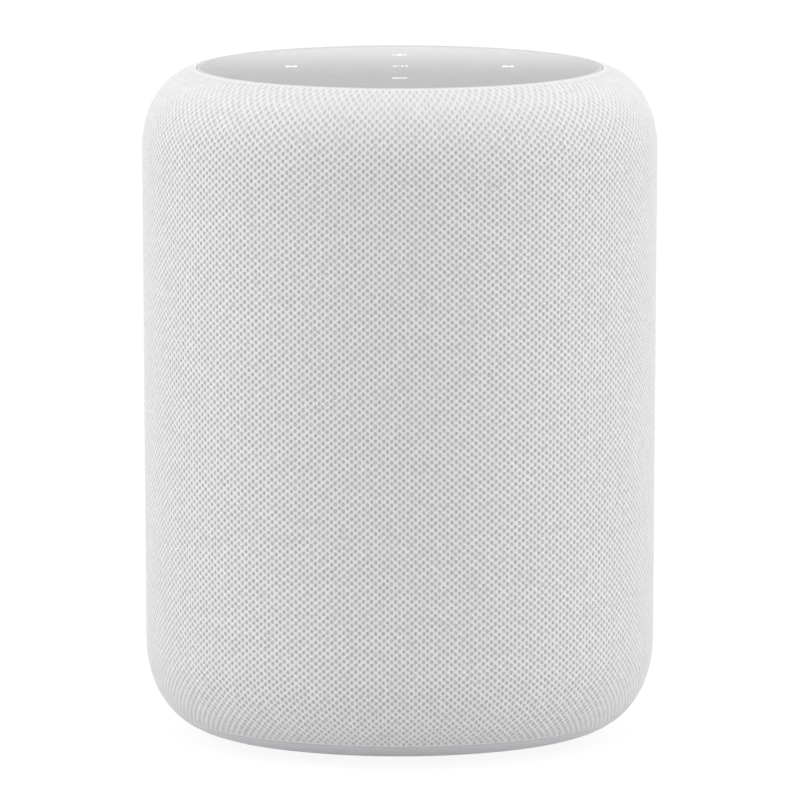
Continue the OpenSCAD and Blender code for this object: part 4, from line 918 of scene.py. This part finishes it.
print("crowned panel:", len(crowned.data.polygons), "faces, its top at",
      round(max(v.co.z for v in crowned.data.vertices) / MM, 2), "mm")

# %% [markdown]
# ## Screws
#
# The case screws have round heads with a cross recess for the driver. Two slim bars are crossed
# and tapered by scaling their far ends, and a boolean cuts that cross out of the head. The
# head's edges are then bevelled, and the shank is joined on below.

# %% Cross-recessed screws
RECESS_SPAN = 2.9 * MM
RECESS_WIDTH = 0.75 * MM
RECESS_DEPTH = 1.0 * MM
HEAD_R = 2.3 * MM
HEAD_H = 1.7 * MM
SHANK_R = 1.25 * MM
BASE_SHANK = 38.5 * MM          # from the base cover up into the speaker box
PANEL_SHANK = 10.4 * MM
BASE_SCREW_R = 45.1 * MM
PANEL_SCREW_INSET = 3 * MM      # from the recess's wall to a panel screw
RECESS_WALL = 2.4 * MM


def join(pieces, name):
    """Joins objects into the first, and returns it."""
    select_only(pieces[0])
    for piece in pieces:
        piece.select_set(True)
    if len(pieces) > 1:
        bpy.ops.object.join()
    joined = bpy.context.object
    joined.name = joined.data.name = name
    return joined


def block(size, place=(0, 0, 0)):
    """A box of a size, with its middle at a place."""
    bpy.ops.mesh.primitive_cube_add(size=1, location=place)
    cube = bpy.context.object
    cube.scale = size
    settle(cube)
    return cube


def cross_screw(place, outward, shank):
    """A screw whose head sits on a place and faces outward, with a shank of a length."""
    bars = []
    for size in ((RECESS_SPAN, RECESS_WIDTH), (RECESS_WIDTH, RECESS_SPAN)):
        bar = block((*size, 2 * RECESS_DEPTH), (0, 0, HEAD_H))
        select_faces(bar, lambda normal: normal.z < -0.9)
        bpy.ops.transform.resize(value=(0.45, 0.45, 1),
                                 center_override=(0, 0, HEAD_H - RECESS_DEPTH))
        bpy.ops.object.mode_set(mode="OBJECT")
        bars.append(bar)
    bpy.ops.mesh.primitive_cylinder_add(vertices=32, radius=HEAD_R, depth=HEAD_H,
                                        location=(0, 0, HEAD_H / 2))
    head = bpy.context.object
    settle(head)
    for bar in bars:
        cut = head.modifiers.new("cut", "BOOLEAN")
        cut.operation = "DIFFERENCE"
        cut.solver = "EXACT"
        cut.object = bar
    settle(head)
    for bar in bars:
        bpy.data.objects.remove(bar)
    bevelled(head, 0.15 * MM, 2, 50)
    bpy.ops.mesh.primitive_cylinder_add(vertices=24, radius=SHANK_R, depth=shank,
                                        location=(0, 0, -shank / 2))
    screw = join([head, bpy.context.object], "screw")
    screw.location = place
    screw.rotation_euler = Vector(outward).to_track_quat("Z", "Y").to_euler()
    settle(screw)
    return screw


base_screw_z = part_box("case_screws")[0].z + HEAD_H
socket_low, socket_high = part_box("ethernet_jack")
button_low, button_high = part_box("setup_button")
recess_floor = socket_high.y
screw_x = recess_high.x - RECESS_WALL - PANEL_SCREW_INSET
screw_z = recess_high.z - RECESS_WALL - PANEL_SCREW_INSET
corner = BASE_SCREW_R * math.sqrt(0.5)
screws = [cross_screw((x, recess_floor, screw_z), (0, 1, 0), PANEL_SHANK)
          for x in (-screw_x, screw_x)]
screws += [cross_screw((x, y, base_screw_z), (0, 0, -1), BASE_SHANK)
           for x in (-corner, corner) for y in (-corner, corner)]
case_screws = join(screws, "case_screws_crossed")
bpy.ops.object.shade_smooth_by_angle(angle=math.radians(32))
dress(case_screws, "cabinet", "screw_steel")
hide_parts("case_screws")
print("case screws:", len(case_screws.data.polygons), "faces on", len(screws), "screws")

# %% [markdown]
# ## Details of the sockets
#
# The network socket is a folded sheet-metal shell. Inside it sits a black plastic body, open to
# the front and at the latch, and two spring tongues stand at its sides that touch the plug's
# shield. The body is a box whose front and lower faces are deleted and whose wall is thickened
# inwards. The audio jack gets a plated collar, turned by sweeping a torus.

# %% Socket details
PORT = (11.8 * MM, 15 * MM, 7.6 * MM)       # width, depth and height of the network port
LINER_WALL = 0.35 * MM
PORT_SILL = 3.4 * MM                        # from the socket's lower face to its port
LINER_GAP = 0.04 * MM                       # by which the liner is smaller than the port
TONGUE = (0.25 * MM, 4.5 * MM, 2.2 * MM)
TONGUE_INSET = 0.6 * MM                     # from the mouth of the port to the tongues
TONGUE_BEND = 0.5 * MM                      # how far their inner ends lean in
BEND_FROM = 2 * MM                          # and how deep those ends lie at least
COLLAR_R = 2.35 * MM
COLLAR_THICK_R = 0.32 * MM
GLYPH_H = 0.12 * MM                         # how far the signs stand off the recess's floor

port_x = (socket_low.x + socket_high.x) / 2
port_mid_z = socket_low.z + PORT_SILL + PORT[2] / 2
liner = block([v - LINER_GAP for v in PORT], (port_x, recess_floor - PORT[1] / 2, port_mid_z))
select_faces(liner, lambda normal: normal.y > 0.9 or normal.z < -0.9)
bpy.ops.mesh.delete(type="FACE")
bpy.ops.object.mode_set(mode="OBJECT")
wall = liner.modifiers.new("wall", "SOLIDIFY")
wall.thickness = LINER_WALL
wall.offset = -1
settle(liner)
liner.name = liner.data.name = "network_socket_liner"
bevelled(liner, 0.05 * MM, 1)
dress(liner, "cabinet", "black_plastic")

tongues = []
for way in (-1, 1):
    tongue = block(TONGUE, (port_x + way * (PORT[0] / 2 - LINER_WALL - TONGUE[0]),
                            recess_floor - TONGUE[1] / 2 - TONGUE_INSET, port_mid_z))
    for vertex in tongue.data.vertices:
        if vertex.co.y < recess_floor - BEND_FROM:
            vertex.co.x -= way * TONGUE_BEND
    tongues.append(tongue)
tongues = join(tongues, "network_socket_tongues")
bevelled(tongues, 0.06 * MM, 1)
dress(tongues, "cabinet", "plated_metal")

jack_low, jack_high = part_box("aux_jack")
jack_x = (jack_low.x + jack_high.x) / 2
jack_z = (jack_low.z + jack_high.z) / 2
bpy.ops.mesh.primitive_torus_add(location=(jack_x, recess_floor, jack_z), major_radius=COLLAR_R,
                                 minor_radius=COLLAR_THICK_R, major_segments=48,
                                 minor_segments=10, rotation=(math.pi / 2, 0, 0))
collar = bpy.context.object
settle(collar)
collar.name = collar.data.name = "audio_jack_collar"
bpy.ops.object.shade_smooth()
dress(collar, "cabinet", "plated_metal")
print("liner, tongues and collar fitted")

# %% [markdown]
# The network socket, the audio jack and the button each have a small moulded sign above them:
# three linked boxes, a note, and a dot in a circle. The signs are raised about a tenth of a
# millimetre off the recess's floor, and are made of simple strokes, rings and dots.


# %% Signs by the sockets
LINE = 0.28         # width of the signs' lines, in mm
SIGN_LIFT = 0.25    # how far above the middle of its strip a sign sits, in mm


def stroke(start, end, width=LINE):
    """A raised line on the recess's floor, from start to end in mm, as (x, z) pairs."""
    a, b = Vector(start), Vector(end)
    middle = (a + b) / 2
    line = block(((b - a).length * MM + width * MM, 2 * GLYPH_H, width * MM))
    line.rotation_euler.y = -math.atan2(b.y - a.y, b.x - a.x)
    line.location = (middle.x * MM, recess_floor, middle.y * MM)
    settle(line)
    return line


def dot(place, radius):
    """A raised round dot at a place in mm."""
    bpy.ops.mesh.primitive_cylinder_add(vertices=24, radius=radius * MM, depth=2 * GLYPH_H,
                                        location=(place[0] * MM, recess_floor, place[1] * MM),
                                        rotation=(math.pi / 2, 0, 0))
    round_dot = bpy.context.object
    settle(round_dot)
    return round_dot


def circle(place, radius, width=LINE):
    """A raised ring at a place in mm."""
    bpy.ops.mesh.primitive_torus_add(location=(place[0] * MM, recess_floor, place[1] * MM),
                                     major_radius=radius * MM, minor_radius=width / 2 * MM,
                                     major_segments=32, minor_segments=6,
                                     rotation=(math.pi / 2, 0, 0))
    ring_piece = bpy.context.object
    settle(ring_piece)
    return ring_piece


def polyline(points, width=LINE):
    """Strokes from each point in mm to the next."""
    return [stroke(a, b, width) for a, b in zip(points, points[1:])]


def box_outline(x, z, w, h):
    """The outline of a box about (x, z), of half width w and half height h in mm."""
    return polyline([(x - w, z - h), (x + w, z - h), (x + w, z + h), (x - w, z + h),
                     (x - w, z - h)])


sign_z = (socket_high.z + recess_high.z - RECESS_WALL) / 2 / MM + SIGN_LIFT
net_x = port_x / MM
note_x = jack_x / MM
spot_x = (button_low.x + button_high.x) / 2 / MM
signs = box_outline(net_x, sign_z + 0.85, 0.55, 0.4)
signs += box_outline(net_x - 1.2, sign_z - 0.85, 0.55, 0.4)
signs += box_outline(net_x + 1.2, sign_z - 0.85, 0.55, 0.4)
signs += polyline([(net_x, sign_z + 0.45), (net_x, sign_z), (net_x - 1.2, sign_z),
                   (net_x - 1.2, sign_z - 0.45)])
signs += polyline([(net_x, sign_z), (net_x + 1.2, sign_z), (net_x + 1.2, sign_z - 0.45)])
signs += [dot((note_x - 0.75, sign_z - 0.9), 0.42), dot((note_x + 0.75, sign_z - 0.7), 0.42)]
signs += polyline([(note_x - 0.42, sign_z - 0.9), (note_x - 0.42, sign_z + 0.9),
                   (note_x + 1.08, sign_z + 1.1), (note_x + 1.08, sign_z - 0.7)])
signs += [circle((spot_x, sign_z - 1.3), 0.95), dot((spot_x, sign_z - 1.3), 0.32)]
signs = join(signs, "socket_signs")
dress(signs, "cabinet", "button_plastic")
print("signs:", len(signs.data.polygons), "faces")
